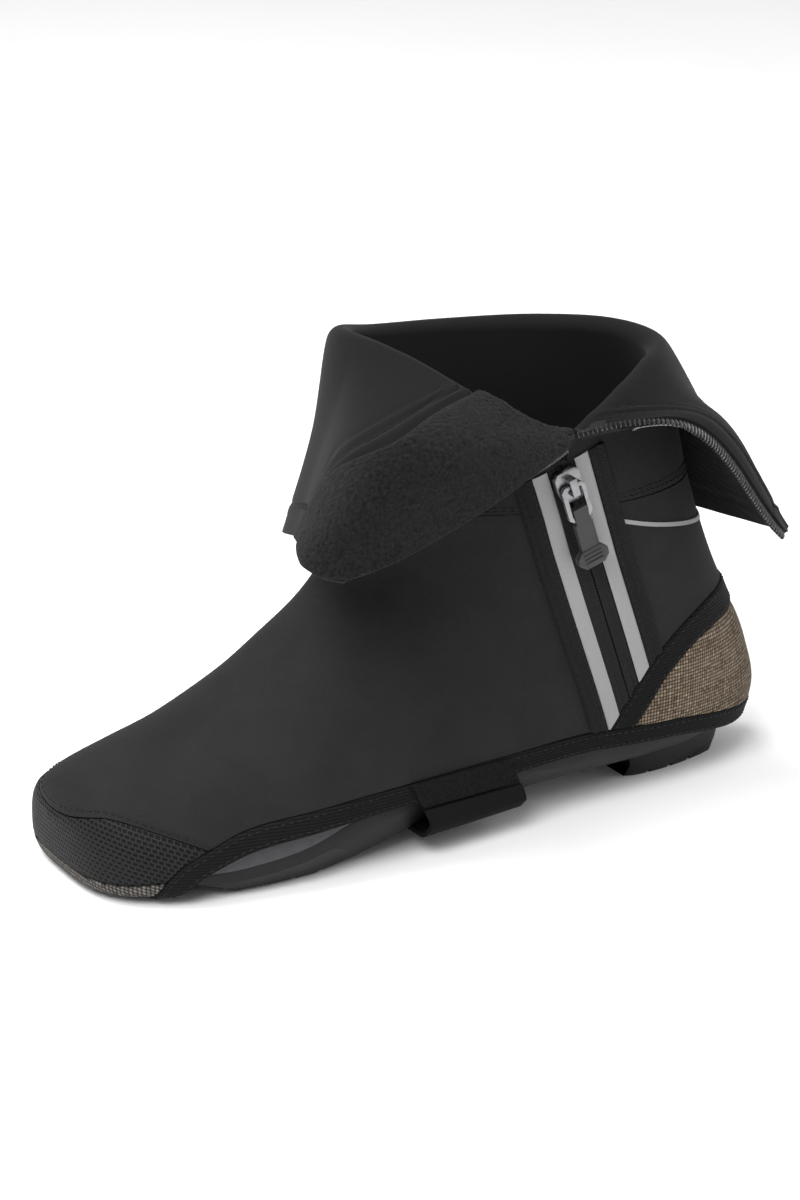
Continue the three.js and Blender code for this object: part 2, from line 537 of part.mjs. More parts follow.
// One row of zip coil along an edge of the collar, beside it on the side away from the cloth
function coilAlong(column, neighbour, firstRow, lastRow) {
  const rows = span(firstRow, lastRow);
  const curve = new THREE.CatmullRomCurve3(rows.map((j) => collarGrid[column][j]));
  const beside = new THREE.CatmullRomCurve3(rows.map((j) => collarGrid[neighbour][j]));
  const turns = Math.round(curve.getLength() / COIL_PITCH);
  const rings = [];
  for (let k = 0; k <= 2 * turns; k++) {
    const at = k / (2 * turns);
    const middle = curve.getPointAt(at);
    const along = curve.getTangentAt(at);
    const away = middle.clone().sub(beside.getPointAt(at));
    away.addScaledVector(along, -away.dot(along)).normalize();
    const up = along.clone().cross(away).normalize();
    const swell = k % 2 === 0 ? 0.72 : 1;
    const corner = (across, height) =>
      middle
        .clone()
        .addScaledVector(away, 2 * CLEARANCE + (COIL_WIDTH / 2) * (1 + across * swell))
        .addScaledVector(up, (COIL_HEIGHT / 2) * height * swell);
    rings.push([[-1, -0.5], [-1, 0.5], [0, 1], [1, 0.5], [1, -0.5], [0, -1]].map(([a, h]) => corner(a, h)));
  }
  return ringSolid(rings);
}

function makeCoils() {
  const last = COLLAR_TURN_STOPS.length - 1;
  const bend = RISE_ROWS + FOLD_ROWS;
  const end = collarGrid[0].length - 1;
  addMesh("coil_front", coilAlong(0, 1, bend + 1, end - 1), CHAIN);
  addMesh("coil_rear", coilAlong(last, last - 1, bend, end), CHAIN);
}

const soleEdge = sideLine(SOLE.map(([along, , edge]) => [along, edge]), 20);
soleEdge.unshift([soleEdge[0][0] - 20, soleEdge[0][1]]);
soleEdge.push([soleEdge.at(-1)[0] + 30, soleEdge.at(-1)[1]]);
function soleRowAt(along) {
  let row = 0;
  while (row + 2 < SOLE.length && SOLE[row + 1][0] <= along) row++;
  return row + (along - SOLE[row][0]) / (SOLE[row + 1][0] - SOLE[row][0]);
}
const block = (x0, x1, z0, z1, half) =>
  sidePrism([[x0, z0], [x1, z0]], [[x0, z1], [x1, z1]], -half, half);

function makeSole() {
  const rings = [];
  for (let row = 0; row < SOLE.length; row += row > 6 ? 1 : 0.5) {
    const at = (name) => (name === "under" ? Math.max(0, sole(name, row)) : sole(name, row));
    const height = (rise) => at("under") + rise * (at("edge") - at("under"));
    const flank = (side, under, edge) => [
      [side * under * 0.93, height(0)], [side * under, height(0.12)], [side * edge, height(0.8)], [side * edge, height(1.5)],
    ];
    const outer = flank(-1, at("outerUnder"), at("outerEdge"));
    const inner = flank(1, at("innerUnder"), at("innerEdge"));
    rings.push([...outer, ...inner.reverse()].map(([across, up]) => place(at("along"), at("centre") + across, up)));
  }
  const inside = formSolid(-WALL - CLEARANCE, [18.3]);
  let outsole = ringSolid(rings).intersect(inside).intersect(beneath(soleEdge));
  for (let k = 0; k < 5; k++) {
    const middle = GROOVE_FIRST * COVER_LENGTH + k * GROOVE_PITCH;
    outsole = outsole.subtract(block(middle - GROOVE_WIDTH / 2, middle + GROOVE_WIDTH / 2, -5, GROOVE_DEPTH, 1.2 * BALL_WIDTH));
  }
  addMesh("outsole", outsole, SOLE_RUBBER);
  const rand = inside.subtract(formSolid(-WALL - CLEARANCE - RAND_WALL, [18.3], true));
  addMesh("rand", rand.intersect(strip(soleEdge, CLEARANCE, RAND_RISE)), RAND);
  const within = formSolid(-WALL - 2 * CLEARANCE - RAND_WALL, [18.3], true);
  addMesh("insole", within.intersect(strip(soleEdge, CLEARANCE, CLEARANCE + INSOLE_THICKNESS)), FOOTBED);

  const padRings = [];
  for (let row = 0; row <= PAD.length - 1; row += 0.5) {
    const along = pad("along", row) * COVER_LENGTH;
    const top = sole("under", soleRowAt(pad("along", row))) * SEAM_HEIGHT - CLEARANCE;
    const half = pad("half", row) * BALL_WIDTH;
    const low = half - pad("lean", row) * BALL_WIDTH;
    const taper = row === 0 ? 8 : row === PAD.length - 1 ? -2 : 0; // the ends lean in towards the floor
    const level = (y, z) => new THREE.Vector3(along + taper * (1 - z / top), y, z);
    padRings.push([level(-low, 0), level(low, 0), level(half - 0.8, top * 0.45), level(half, top), level(-half, top), level(-half + 0.8, top * 0.45)]);
  }
  let heelPad = ringSolid(padRings);
  for (const share of PAD_GROOVES) {
    const middle = share * COVER_LENGTH;
    heelPad = heelPad.subtract(block(middle - 1, middle + 1, -5, GROOVE_DEPTH, BALL_WIDTH));
  }
  addMesh("heel_pad", heelPad, SOLE_RUBBER);
}

// Arch strap: sewn to the binding on both sides, it passes under the waist of the sole
const STRAP_FRONT = -0.040 * COVER_LENGTH;
const STRAP_WIDTH = 42;
const STRAP_TOP = 0.256 * SEAM_HEIGHT;
const STRAP_CORNER = 0.066 * SEAM_HEIGHT; // where its legs turn under the sole
const PATCH_LOW = 0.174 * SEAM_HEIGHT;
const PATCH_THICKNESS = 1.1;
const STRAP_RISE = 0.02; // of its underside for each millimetre towards the heel
const STRAP_SLANT = 0.48; // how far it leans back for each millimetre down
function makeStrap() {
  const lift = BINDING_PROUD + CLEARANCE + STRAP_THICKNESS / 2;
  const path = (along) => {
    const under =
      sole("under", soleRowAt(STRAP_FRONT / COVER_LENGTH)) * SEAM_HEIGHT + STRAP_RISE * (along - STRAP_FRONT) - 2 * CLEARANCE - STRAP_THICKNESS / 2;
    const sideAt = (side, pz) => {
      const { station, angle } = locate(along - STRAP_SLANT * (pz - STRAP_CORNER), pz, side);
      return offsetPoint(station, angle, lift);
    };
    const leg = (side, heights) => heights.map((pz) => sideAt(side, pz));
    const low = STRAP_CORNER + 7;
    const near = leg(-1, [PATCH_LOW - 0.5, low]);
    const far = leg(1, [low, PATCH_LOW, (PATCH_LOW + STRAP_TOP) / 2, STRAP_TOP]);
    const turn = (from, share, rise) => new THREE.Vector3(along, from.y * share, under + rise);
    return [
      ...near, turn(near[1], 0.97, 3.5), turn(near[1], 0.88, 0.4), turn(near[1], 0.72, 0), turn(near[1], 0.3, 0),
      turn(far[0], 0.3, 0), turn(far[0], 0.72, 0), turn(far[0], 0.88, 0.4), turn(far[0], 0.97, 3.5), ...far,
    ];
  };
  const columns = [0, 0.25, 0.5, 0.75, 1].map((share) => path(STRAP_FRONT + STRAP_WIDTH * share));
  const normals = columns.map((column, i) =>
    column.map((_, j) => {
      const across = columns[Math.min(i + 1, 4)][j].clone().sub(columns[Math.max(i - 1, 0)][j]);
      const along = column[Math.min(j + 1, column.length - 1)].clone().sub(column[Math.max(j - 1, 0)]);
      return across.cross(along).normalize();
    }),
  );
  const face = (offset) => columns.map((column, i) => column.map((p, j) => p.clone().addScaledVector(normals[i][j], offset)));
  addMesh("arch_strap", sheetSolid(face(-STRAP_THICKNESS / 2), face(STRAP_THICKNESS / 2)), BINDING);
  const lean = (px, pz) => [px - STRAP_SLANT * (pz - STRAP_CORNER), pz];
  const outline = sidePrism(
    [lean(STRAP_FRONT, PATCH_LOW), lean(STRAP_FRONT, STRAP_TOP)],
    [lean(STRAP_FRONT + STRAP_WIDTH, PATCH_LOW), lean(STRAP_FRONT + STRAP_WIDTH, STRAP_TOP)],
    -2 * BALL_WIDTH,
    0,
  );
  addMesh("strap_patch", layer(BINDING_PROUD + CLEARANCE, BINDING_PROUD + CLEARANCE + PATCH_THICKNESS).intersect(outline), MESH_PANEL);
}

function makeReflectiveLine() {
  const line = sideLine([[0.201, 0.926], [0.268, 0.872], [0.329, 0.831], [0.383, 0.798], [0.453, 0.760]], 8);
  const behindTape = zipBand(TAPE_HALF_WIDTH + CLEARANCE, 120);
  addMesh("reflective_line", layer(CLEARANCE, CLEARANCE + STRIPE_THICKNESS).intersect(strip(line, -0.9, 0.9, 0)).intersect(behindTape), REFLECTIVE);
}

// Slider and pull, in a frame on the zip: u across it to the rear, v up it, w out of the cover
function frameOnZip(along) {
  const [px, pz] = zipAt(along);
  const { station, angle } = locate(px, pz);
  const origin = formPoint(station, angle);
  const w = formNormal(station, angle);
  const [qx, qz] = zipAt(along + 4);
  const next = locate(qx, qz);
  const v = formPoint(next.station, next.angle).sub(origin);
  v.addScaledVector(w, -v.dot(w)).normalize();
  const u = v.clone().cross(w).normalize();
  return (a, b, c) => origin.clone().addScaledVector(u, a).addScaledVector(v, b).addScaledVector(w, c);
}
// A plate from an outline of [across, up] points, between two heights over the cover
function plate(at, outline, low, high) {
  return ringSolid([low, high].map((height) => outline.map(([a, b]) => at(a, b, height))));
}
const oblong = (half, low, high, cut) => [
  [-half + cut, low], [half - cut, low], [half, low + cut], [half, high - cut],
  [half - cut, high], [-half + cut, high], [-half, high - cut], [-half, low + cut],
];
const SLIDER_ALONG = 0.917; // slider's middle, as a share of the zip's line
const SLIDER_LOW = 0.4; // over the cover
const SLIDER_HIGH = 3.3;
const BAR_UP = 0.5; // pull's bar, up the zip from the slider's middle
const BAR_OUT = 4.9; // and over the cover
const BAR_GAP = 0.5; // round the bar in the slider's bridge

function makeSlider() {
  const at = frameOnZip(SLIDER_ALONG * zipLength);
  const [w, l] = [SLIDER_WIDTH / 2, SLIDER_LENGTH / 2];
  const body = plate(
    at,
    [[-0.7 * w, -l], [0.7 * w, -l], [w, -0.2 * l], [w, 0.7 * l], [0.7 * w, l], [-0.7 * w, l], [-w, 0.7 * l], [-w, -0.2 * l]],
    SLIDER_LOW,
    SLIDER_HIGH,
  );
  const half = LINK_WIRE / 2;
  const box = (a, b0, b1, c0, c1) => plate(at, [[-a, b0], [a, b0], [a, b1], [-a, b1]], c0, c1);
  const reach = half + BAR_GAP;
  const bridge = box(1.4, BAR_UP - reach - 2, BAR_UP + reach + 2, SLIDER_HIGH - 0.5, BAR_OUT + reach + 1);
  const eye = box(3, BAR_UP - reach, BAR_UP + reach, BAR_OUT - reach, BAR_OUT + reach);
  addMesh("slider", body.add(bridge).subtract(eye), NICKEL);

  const p = PULL_WIDTH / 2;
  const top = BAR_UP + half;
  const bottom = top - LINK_LENGTH;
  const link = plate(at, oblong(p, bottom, top, 1.4), BAR_OUT - half, BAR_OUT + half).subtract(
    plate(at, oblong(p - LINK_WIRE, bottom + LINK_WIRE, top - LINK_WIRE, 0.5), BAR_OUT - 2, BAR_OUT + 2),
  );
  addMesh("pull_link", link, NICKEL);

  const head = bottom + LINK_WIRE + 3;
  const gripEnd = bottom - GRIP_LENGTH;
  const neck = box(p - LINK_WIRE - 0.4, bottom - 2, head, BAR_OUT - 1.3, BAR_OUT + 1.3);
  const barGap = box(p, bottom - CLEARANCE, bottom + LINK_WIRE + CLEARANCE, BAR_OUT - half - CLEARANCE, BAR_OUT + half + CLEARANCE);
  const tongue = plate(at, oblong(GRIP_WIDTH / 2, gripEnd + 3, bottom - 1, 0.8), BAR_OUT - 1.1, BAR_OUT + 1.1);
  const knuckle = plate(at, oblong(KNUCKLE_WIDTH / 2, gripEnd, gripEnd + 7, 2.2), BAR_OUT - 1.4, BAR_OUT + 1.4);
  let grip = neck.add(tongue).add(knuckle).subtract(barGap);
  for (const k of [0, 1, 2]) grip = grip.add(box(3.6, gripEnd + 1.6 + 1.6 * k, gripEnd + 2.2 + 1.6 * k, BAR_OUT, BAR_OUT + 1.8));
  addMesh("pull_grip", grip, GRIP);
  const hinge = at(0, BAR_UP, BAR_OUT);
  return { hinge, axis: at(-1, BAR_UP, BAR_OUT).sub(hinge) };
}

makeCover();
makeZip();
makeCollar();
makeCoils();
makeSole();
makeStrap();
makeReflectiveLine();
const { hinge, axis } = makeSlider();

// The part stands on the floor, centred over the origin
const bounds = new THREE.Box3().setFromObject(model);
const centre = bounds.getCenter(new THREE.Vector3());
const shift = new THREE.Vector3(-centre.x, -centre.y, -bounds.min.z);
model.children.forEach((mesh) => mesh.geometry.translate(shift.x, shift.y, shift.z));
model.userData = { shift: shift.toArray(), hinge: hinge.add(shift).toArray(), hingeAxis: axis.toArray() };
export default model;
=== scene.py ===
# %% [markdown]
# # A zipped overshoe on a stiff cycling sole
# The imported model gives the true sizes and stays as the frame. Each cloth panel is built again here with a
# finer surface, stitching and a woven or knitted finish, and takes its plain solid's place.

import bpy
import bmesh
import math
import numpy as np
from mathutils import Matrix, Vector, noise


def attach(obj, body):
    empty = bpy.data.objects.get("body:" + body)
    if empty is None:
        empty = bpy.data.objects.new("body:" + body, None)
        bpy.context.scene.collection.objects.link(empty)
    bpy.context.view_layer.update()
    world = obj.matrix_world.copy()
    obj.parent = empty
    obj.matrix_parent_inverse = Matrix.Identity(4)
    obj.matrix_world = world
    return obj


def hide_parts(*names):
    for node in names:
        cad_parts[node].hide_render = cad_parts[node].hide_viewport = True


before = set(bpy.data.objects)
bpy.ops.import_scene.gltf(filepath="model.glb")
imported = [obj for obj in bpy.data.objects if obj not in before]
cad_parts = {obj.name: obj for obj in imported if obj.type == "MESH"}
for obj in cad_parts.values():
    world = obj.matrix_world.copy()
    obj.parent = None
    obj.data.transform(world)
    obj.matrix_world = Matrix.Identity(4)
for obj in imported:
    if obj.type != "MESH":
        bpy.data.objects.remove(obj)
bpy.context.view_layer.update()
print("frame:", len(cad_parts), "nodes")

# %% [markdown]
# ## Camera first
# The photograph is taken with a long lens from the outer side, 30 degrees round towards the toe and 20 degrees
# up. The camera looks at one point of the shoe from 1.3 m away, so its place follows from these two angles.

# %% Camera
MM = 0.001
PATTERN_ORIGIN = Vector((-6.925, 4.109, 0.0)) * MM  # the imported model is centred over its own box
VIEW_AZIMUTH, VIEW_ELEVATION = math.radians(-30), math.radians(20)
VIEW_DISTANCE = 1.3
LENS = 110.04
looked_at = Vector((0.8, 0.0, 79.4)) * MM + PATTERN_ORIGIN
towards_camera = Vector(
    (
        math.sin(VIEW_AZIMUTH) * math.cos(VIEW_ELEVATION),
        -math.cos(VIEW_AZIMUTH) * math.cos(VIEW_ELEVATION),
        math.sin(VIEW_ELEVATION),
    )
)
camera = bpy.data.objects.new("camera", bpy.data.cameras.new("camera"))
bpy.context.scene.collection.objects.link(camera)
camera.location = looked_at + towards_camera * VIEW_DISTANCE
camera.rotation_euler = (-towards_camera).to_track_quat("-Z", "Y").to_euler()
camera.data.lens = LENS
camera.data.sensor_width = 36
bpy.context.scene.camera = camera

# %% [markdown]
# ## The form
# A cover like this is sewn over a last. The last's shape is a row of cross sections from the toe tip to the
# collar's fold, and every panel, tape and seam lies on it. The tables hold shares of the cover's length, of its
# width over the ball and of the height of its ankle seam.

# %% Sizes, in millimetres
COVER_LENGTH = 298
BALL_WIDTH = 100
SEAM_HEIGHT = 121
WALL = 2.6
CLEARANCE = 0.3
FOLD_RADIUS = 3
EDGE_BAND = 7.5
BINDING_PROUD = 0.7
COUNTER_BAND = 10
TAPE_HALF_WIDTH = 18.5
CHAIN_HALF_WIDTH = 5.6
STRIPE_WIDTH = 5.8
SLIT_WIDTH = 0.6
RAND_WALL = 1.4
RAND_RISE = 13

# %% Sections of the form
SECTION_COLUMNS = ["topX", "topZ", "footX", "footZ", "widest", "outer", "inner", "centre", "crown", "base"]
SECTIONS = np.array(
    [
        [-0.450, 0.198, -0.448, 0.116, 0.5, 0.04, 0.04, 0.07, 2.2, 2.4],
        [-0.445, 0.248, -0.444, 0.045, 0.46, 0.175, 0.17, 0.07, 2.2, 3],
        [-0.433, 0.281, -0.435, 0.015, 0.43, 0.275, 0.265, 0.06, 2.2, 4],
        [-0.409, 0.302, -0.413, 0.011, 0.4, 0.355, 0.345, 0.045, 2.15, 4.8],
        [-0.376, 0.326, -0.376, 0.010, 0.38, 0.41, 0.41, 0.03, 2.1, 5],
        [-0.329, 0.364, -0.339, 0.010, 0.36, 0.45, 0.45, 0.015, 2.05, 4.6],
        [-0.272, 0.426, -0.282, -0.041, 0.33, 0.475, 0.48, 0.005, 2, 4],
        [-0.205, 0.521, -0.201, -0.050, 0.32, 0.5, 0.49, 0, 2, 4],
        [-0.151, 0.624, -0.111, -0.041, 0.33, 0.49, 0.47, 0, 2, 4],
        [-0.114, 0.715, 0.010, -0.025, 0.36, 0.465, 0.435, 0, 2, 3.6],
        [-0.094, 0.793, 0.161, -0.008, 0.41, 0.435, 0.41, 0, 2, 3.2],
        [-0.086, 0.855, 0.322, 0, 0.45, 0.415, 0.39, 0, 2, 2.7],
        [-0.082, 0.901, 0.450, 0.041, 0.48, 0.41, 0.39, 0, 2, 2.4],
        [-0.080, 0.930, 0.495, 0.182, 0.5, 0.41, 0.39, 0, 2, 2.2],
        [-0.078, 0.950, 0.485, 0.347, 0.5, 0.41, 0.39, 0, 2, 2.1],
        [-0.077, 0.967, 0.460, 0.504, 0.5, 0.41, 0.39, 0, 2, 2],
        [-0.075, 0.979, 0.431, 0.661, 0.5, 0.41, 0.39, 0, 2, 2],
        [-0.074, 0.990, 0.408, 0.810, 0.5, 0.415, 0.395, 0, 2, 2],
        [-0.074, 1.004, 0.391, 0.938, 0.5, 0.42, 0.4, 0, 2, 2],
        [-0.067, 1.231, 0.362, 1.157, 0.5, 0.43, 0.41, 0, 2, 2],
        [-0.052, 1.479, 0.329, 1.355, 0.5, 0.44, 0.42, 0, 2, 2],
    ]
)
SEAM_STATION = 18
HALVINGS = 30


def through(a, b, c, d, t):
    """A value between b and c on the smooth curve through four values."""
    return b + 0.5 * t * (c - a + t * (2 * a - 5 * b + 4 * c - d + t * (3 * (b - c) + d - a)))


def between(rows, column, at):
    """A smooth value between the rows of a table, at a fractional row number."""
    at = np.asarray(at, float)
    row = np.clip(np.floor(at).astype(int), 0, len(rows) - 2)
    return through(*(rows[np.clip(row + k, 0, len(rows) - 1), column] for k in (-1, 0, 1, 2)), at - row)


def as_pair(a, b):
    return np.broadcast_arrays(np.asarray(a, float), np.asarray(b, float))


def form_point(station, angle):
    """A point of the form in mm. angle is 0 on top and pi on the sole line, negative on the outer side."""
    station, angle = as_pair(station, angle)
    at = {name: between(SECTIONS, k, station) for k, name in enumerate(SECTION_COLUMNS)}
    turned = np.arctan2(np.sin(angle), np.cos(angle))
    upper = np.abs(turned) <= np.pi / 2
    power = 2 / np.where(upper, at["crown"], at["base"])
    across = np.clip(np.sin(np.abs(turned)), 0, None) ** power
    along = np.abs(np.cos(turned)) ** power
    rise = np.where(upper, at["widest"] + (1 - at["widest"]) * along, at["widest"] * (1 - along))
    x = at["footX"] + (at["topX"] - at["footX"]) * rise
    y = at["centre"] + np.where(turned < 0, -at["outer"], at["inner"]) * across
    z = at["footZ"] + (at["topZ"] - at["footZ"]) * rise
    return np.stack([x * COVER_LENGTH, y * BALL_WIDTH, z * SEAM_HEIGHT], -1)


def unit(v):
    return v / np.linalg.norm(v, axis=-1, keepdims=True).clip(1e-9)


def run_along(points):
    """The length along a row of points, at each of them."""
    return np.concatenate([[0], np.cumsum(np.linalg.norm(np.diff(points, axis=0), axis=1))])


def along_line(at, run, values):
    """Rows of three values, read at places along a line."""
    return np.stack([np.interp(at, run, values[:, k]) for k in range(3)], -1)


def bump_at(value, centre, width):
    """A smooth bump of height 1."""
    return np.exp(-(((value - centre) / width) ** 2))


def form_normal(station, angle, nudge=0.02):
    """The form's outward normal, from points a nudge away."""
    at = np.clip(station, nudge, len(SECTIONS) - 1 - nudge)
    along = form_point(at + nudge, angle) - form_point(at - nudge, angle)
    around = form_point(at, np.asarray(angle) + nudge) - form_point(at, np.asarray(angle) - nudge)
    return unit(np.cross(along, around))


def locate(px, pz, side=-1):
    """Station and angle of the point that shows at (px, pz) in side view, on one side, by halving."""
    px, pz = np.asarray(px, float), np.asarray(pz, float)
    low, high = np.ones_like(px), np.full_like(px, len(SECTIONS) - 1.0)
    for _ in range(HALVINGS):
        middle = (low + high) / 2
        foot = form_point(middle, np.pi)
        rise = form_point(middle, 0.0) - foot
        behind = rise[..., 0] * (pz - foot[..., 2]) - rise[..., 2] * (px - foot[..., 0]) < 0
        low, high = np.where(behind, middle, low), np.where(behind, high, middle)
    station = (low + high) / 2
    axis = form_point(station, np.pi) - form_point(station, 0.0)
    near, far = np.full_like(px, 0.01), np.full_like(px, np.pi - 0.01)
    for _ in range(HALVINGS):
        middle = (near + far) / 2
        p = form_point(station, side * middle)
        below = (px - p[..., 0]) * axis[..., 0] + (pz - p[..., 2]) * axis[..., 2] > 0
        near, far = np.where(below, middle, near), np.where(below, far, middle)
    return station, side * (near + far) / 2


def on_form(px, pz, lift=0.0, side=-1):
    """The point over (px, pz) of the side view, lifted off the form, and the form's normal there."""
    station, angle = locate(px, pz, side)
    normal = form_normal(station, angle)
    return form_point(station, angle) + normal * np.asarray(lift)[..., None], normal


print("form:", form_point(0.0, 0.0).round(1), "to", form_point(13.0, np.pi).round(1))

# %% [markdown]
# Panels end on lines that are drawn in side view, as a pattern cutter would chalk them on the last. The distance
# from such a line says which panel a point belongs to, and how far it is from the seam.

# %% Seam lines
LOWER_EDGE_POINTS = [
    [-0.364, -0.083], [-0.362, 0.008], [-0.346, 0.074], [-0.322, 0.112], [-0.282, 0.149], [-0.221, 0.172],
    [-0.117, 0.190], [0.070, 0.197], [0.174, 0.202], [0.262, 0.182], [0.329, 0.169], [0.389, 0.145],
    [0.453, 0.120], [0.570, 0.107],
]
TOE_SEAM_POINTS = [
    [-0.554, 0.124], [-0.473, 0.161], [-0.453, 0.201], [-0.435, 0.236], [-0.413, 0.243], [-0.379, 0.219],
    [-0.332, 0.171], [-0.302, 0.120],
]
GUARD_SEAM_POINTS = [[-0.554, 0.041], [-0.470, 0.054], [-0.419, 0.066], [-0.366, 0.083], [-0.336, 0.091]]
COUNTER_LINE_POINTS = [
    [0.181, 0.132], [0.208, 0.231], [0.248, 0.364], [0.279, 0.455], [0.322, 0.529], [0.366, 0.566],
    [0.409, 0.579], [0.470, 0.579], [0.587, 0.570],
]
ZIP_LOW = np.array([0.265 * COVER_LENGTH, 0.174 * SEAM_HEIGHT])
ZIP_HIGH = np.array([0.131 * COVER_LENGTH, 1.140 * SEAM_HEIGHT])
ZIP_LENGTH = np.linalg.norm(ZIP_HIGH - ZIP_LOW)
ZIP_UP = (ZIP_HIGH - ZIP_LOW) / ZIP_LENGTH
ZIP_BACK = np.array([ZIP_UP[1], -ZIP_UP[0]])


def side_line(points, count=120):
    rows = np.array(points)
    at = np.linspace(0, len(rows) - 1, count)
    return np.stack([between(rows, 0, at) * COVER_LENGTH, between(rows, 1, at) * SEAM_HEIGHT], -1)


def beside(line):
    """A field: the distance of points from a side-view line, positive on its upper left."""
    start, step = line[:-1], np.diff(line, axis=0)
    low, high = np.zeros(len(step)), np.ones(len(step))
    low[0], high[-1] = -1e3, 1e3

    def field(p):
        q = p[:, None, ::2] - start[None]
        t = np.clip((q * step).sum(-1) / (step**2).sum(-1), low, high)
        off = q - t[..., None] * step
        nearest = (off**2).sum(-1).argmin(1)
        pick = np.arange(len(p))
        cross = step[nearest, 0] * off[pick, nearest, 1] - step[nearest, 1] * off[pick, nearest, 0]
        return np.sign(cross) * np.linalg.norm(off[pick, nearest], axis=1)

    return field


lower_edge = beside(side_line(LOWER_EDGE_POINTS))
toe_seam = beside(side_line(TOE_SEAM_POINTS))
guard_seam = beside(side_line(GUARD_SEAM_POINTS))
counter_line = beside(side_line(COUNTER_LINE_POINTS))


def from_zip(p):
    """Distance behind the zip's centre line; on the inner side of the foot there is no zip."""
    return np.where(p[:, 1] < 0, (p[:, ::2] - ZIP_LOW) @ ZIP_BACK, 1e3)


def above_binding(p):
    return lower_edge(p) - EDGE_BAND - CLEARANCE


def above_counter(p):
    return counter_line(p) - CLEARANCE


def in_counter(p):
    return -counter_line(p) - COUNTER_BAND - CLEARANCE


# %% [markdown]
# ## Working on a sheet
# Every panel starts as one bmesh grid that is wrapped on the form. It is then cut along the seam lines: each edge
# that crosses the line is split there, and connect_verts joins the new points. That keeps the seam smooth without
# a very fine grid.

# %% Grids, cuts and finished objects
def wrapped_grid(across, along, shape):
    """A bmesh grid whose points are moved to shape(u, v), with u and v from 0 to 1."""
    bm = bmesh.new()
    bmesh.ops.create_grid(bm, x_segments=across, y_segments=along, size=0.5)
    uv = np.array([v.co.xy for v in bm.verts]) + 0.5
    for v, p in zip(bm.verts, shape(uv[:, 0], uv[:, 1])):
        v.co = p
    return bm


def points_of(bm):
    return np.array([v.co for v in bm.verts])


def cut(bm, field):
    """Splits the faces along the line where field is 0. Gives the points on that line."""
    bm.verts.index_update()
    value = field(points_of(bm))
    crossing = [e for e in bm.edges if (value[e.verts[0].index] > 0) != (value[e.verts[1].index] > 0)]
    made = []
    for edge in crossing:
        a, b = edge.verts
        share = value[a.index] / (value[a.index] - value[b.index])
        made.append(bmesh.utils.edge_split(edge, a, min(max(share, 0.03), 0.97))[1])
    bmesh.ops.connect_verts(bm, verts=made)
    return made


def keep(bm, field):
    """Drops the faces where field is negative."""
    centres = np.array([f.calc_center_median() for f in bm.faces])
    away = [f for f, value in zip(bm.faces, field(centres)) if value < 0]
    bmesh.ops.delete(bm, geom=away, context="FACES")


def trim(bm, *fields):
    """Cuts along each field's line and keeps the side where it is positive."""
    for field in fields:
        cut(bm, field)
        keep(bm, field)


def lift(bm, amount):
    """Moves the points along their normals, by a number of mm or by amount(points)."""
    bm.normal_update()
    distances = amount(points_of(bm)) if callable(amount) else [amount] * len(bm.verts)
    for v, distance in zip(list(bm.verts), distances):
        v.co += v.normal * float(distance)


def face_outwards(bm, centre):
    """Turns all faces if most look towards centre."""
    bm.normal_update()
    outward = sum(f.normal.dot(f.calc_center_median() - Vector(centre)) * f.calc_area() for f in bm.faces)
    if outward < 0:
        bmesh.ops.reverse_faces(bm, faces=bm.faces)


def finish_piece(
    name, bm, materials, stands_for=(), body="root", wall=0.0, sharp=40, uv=None, in_mm=True
):
    """Puts a bmesh in the scene as a piece, in metres, with a wall on the inner side if it has one."""
    if wall:
        bmesh.ops.remove_doubles(bm, verts=bm.verts, dist=1e-3)
    if in_mm:
        bm.transform(Matrix.Translation(PATTERN_ORIGIN) @ Matrix.Scale(MM, 4))
    if uv is not None:
        layer = bm.loops.layers.uv.new("UVMap")
        bm.verts.index_update()
        place = uv((points_of(bm) - np.array(PATTERN_ORIGIN)) / MM)
        for f in bm.faces:
            for loop in f.loops:
                loop[layer].uv = place[loop.vert.index]
    mesh = bpy.data.meshes.new(name)
    bm.to_mesh(mesh)
    bm.free()
    piece = bpy.data.objects.new(name, mesh)
    bpy.context.scene.collection.objects.link(piece)
    for m in materials:
        mesh.materials.append(m)
    if wall:
        solid = piece.modifiers.new("wall", "SOLIDIFY")
        solid.thickness, solid.offset = wall * MM, -1
        solid.material_offset = len(materials) - 1
        done = bpy.data.meshes.new_from_object(piece.evaluated_get(bpy.context.evaluated_depsgraph_get()))
        piece.modifiers.clear()
        piece.data = done
        mesh = done
        mesh.name = name
    mesh.shade_smooth()
    mesh.set_sharp_from_angle(angle=math.radians(sharp))
    if stands_for:
        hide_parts(*stands_for)
    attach(piece, body)
    mesh.calc_loop_triangles()
    print(f"{name}: {len(mesh.loop_triangles)} triangles")
    return piece


# %% [markdown]
# ## Colour and materials
# Colours are written as the hex values that an artist would pick on screen. Blender works in linear light, so
# one function converts them.

# %% Material helpers
def colour(code):
    channels = [int(code[k : k + 2], 16) / 255 for k in (1, 3, 5)]
    return tuple(c / 12.92 if c <= 0.04045 else ((c + 0.055) / 1.055) ** 2.4 for c in channels) + (1.0,)


def add(tree, kind, inputs=None, **settings):
    """Adds a node. inputs sets its sockets by name or number, or links them if the value is a socket."""
    made = tree.nodes.new(kind)
    for name, value in settings.items():
        setattr(made, name, value)
    for key, value in (inputs or {}).items():
        if isinstance(value, bpy.types.NodeSocket):
            tree.links.new(value, made.inputs[key])
        else:
            made.inputs[key].default_value = value
    return made


def new_material(name, base, **sockets):
    """sockets names the shader's inputs, with _ for each space."""
    material = bpy.data.materials.new(name)
    material.use_nodes = True
    shader = material.node_tree.nodes["Principled BSDF"]
    shader.inputs["Base Color"].default_value = colour(base)
    for key, value in sockets.items():
        shader.inputs[key.replace("_", " ")].default_value = value
    return material, material.node_tree, shader


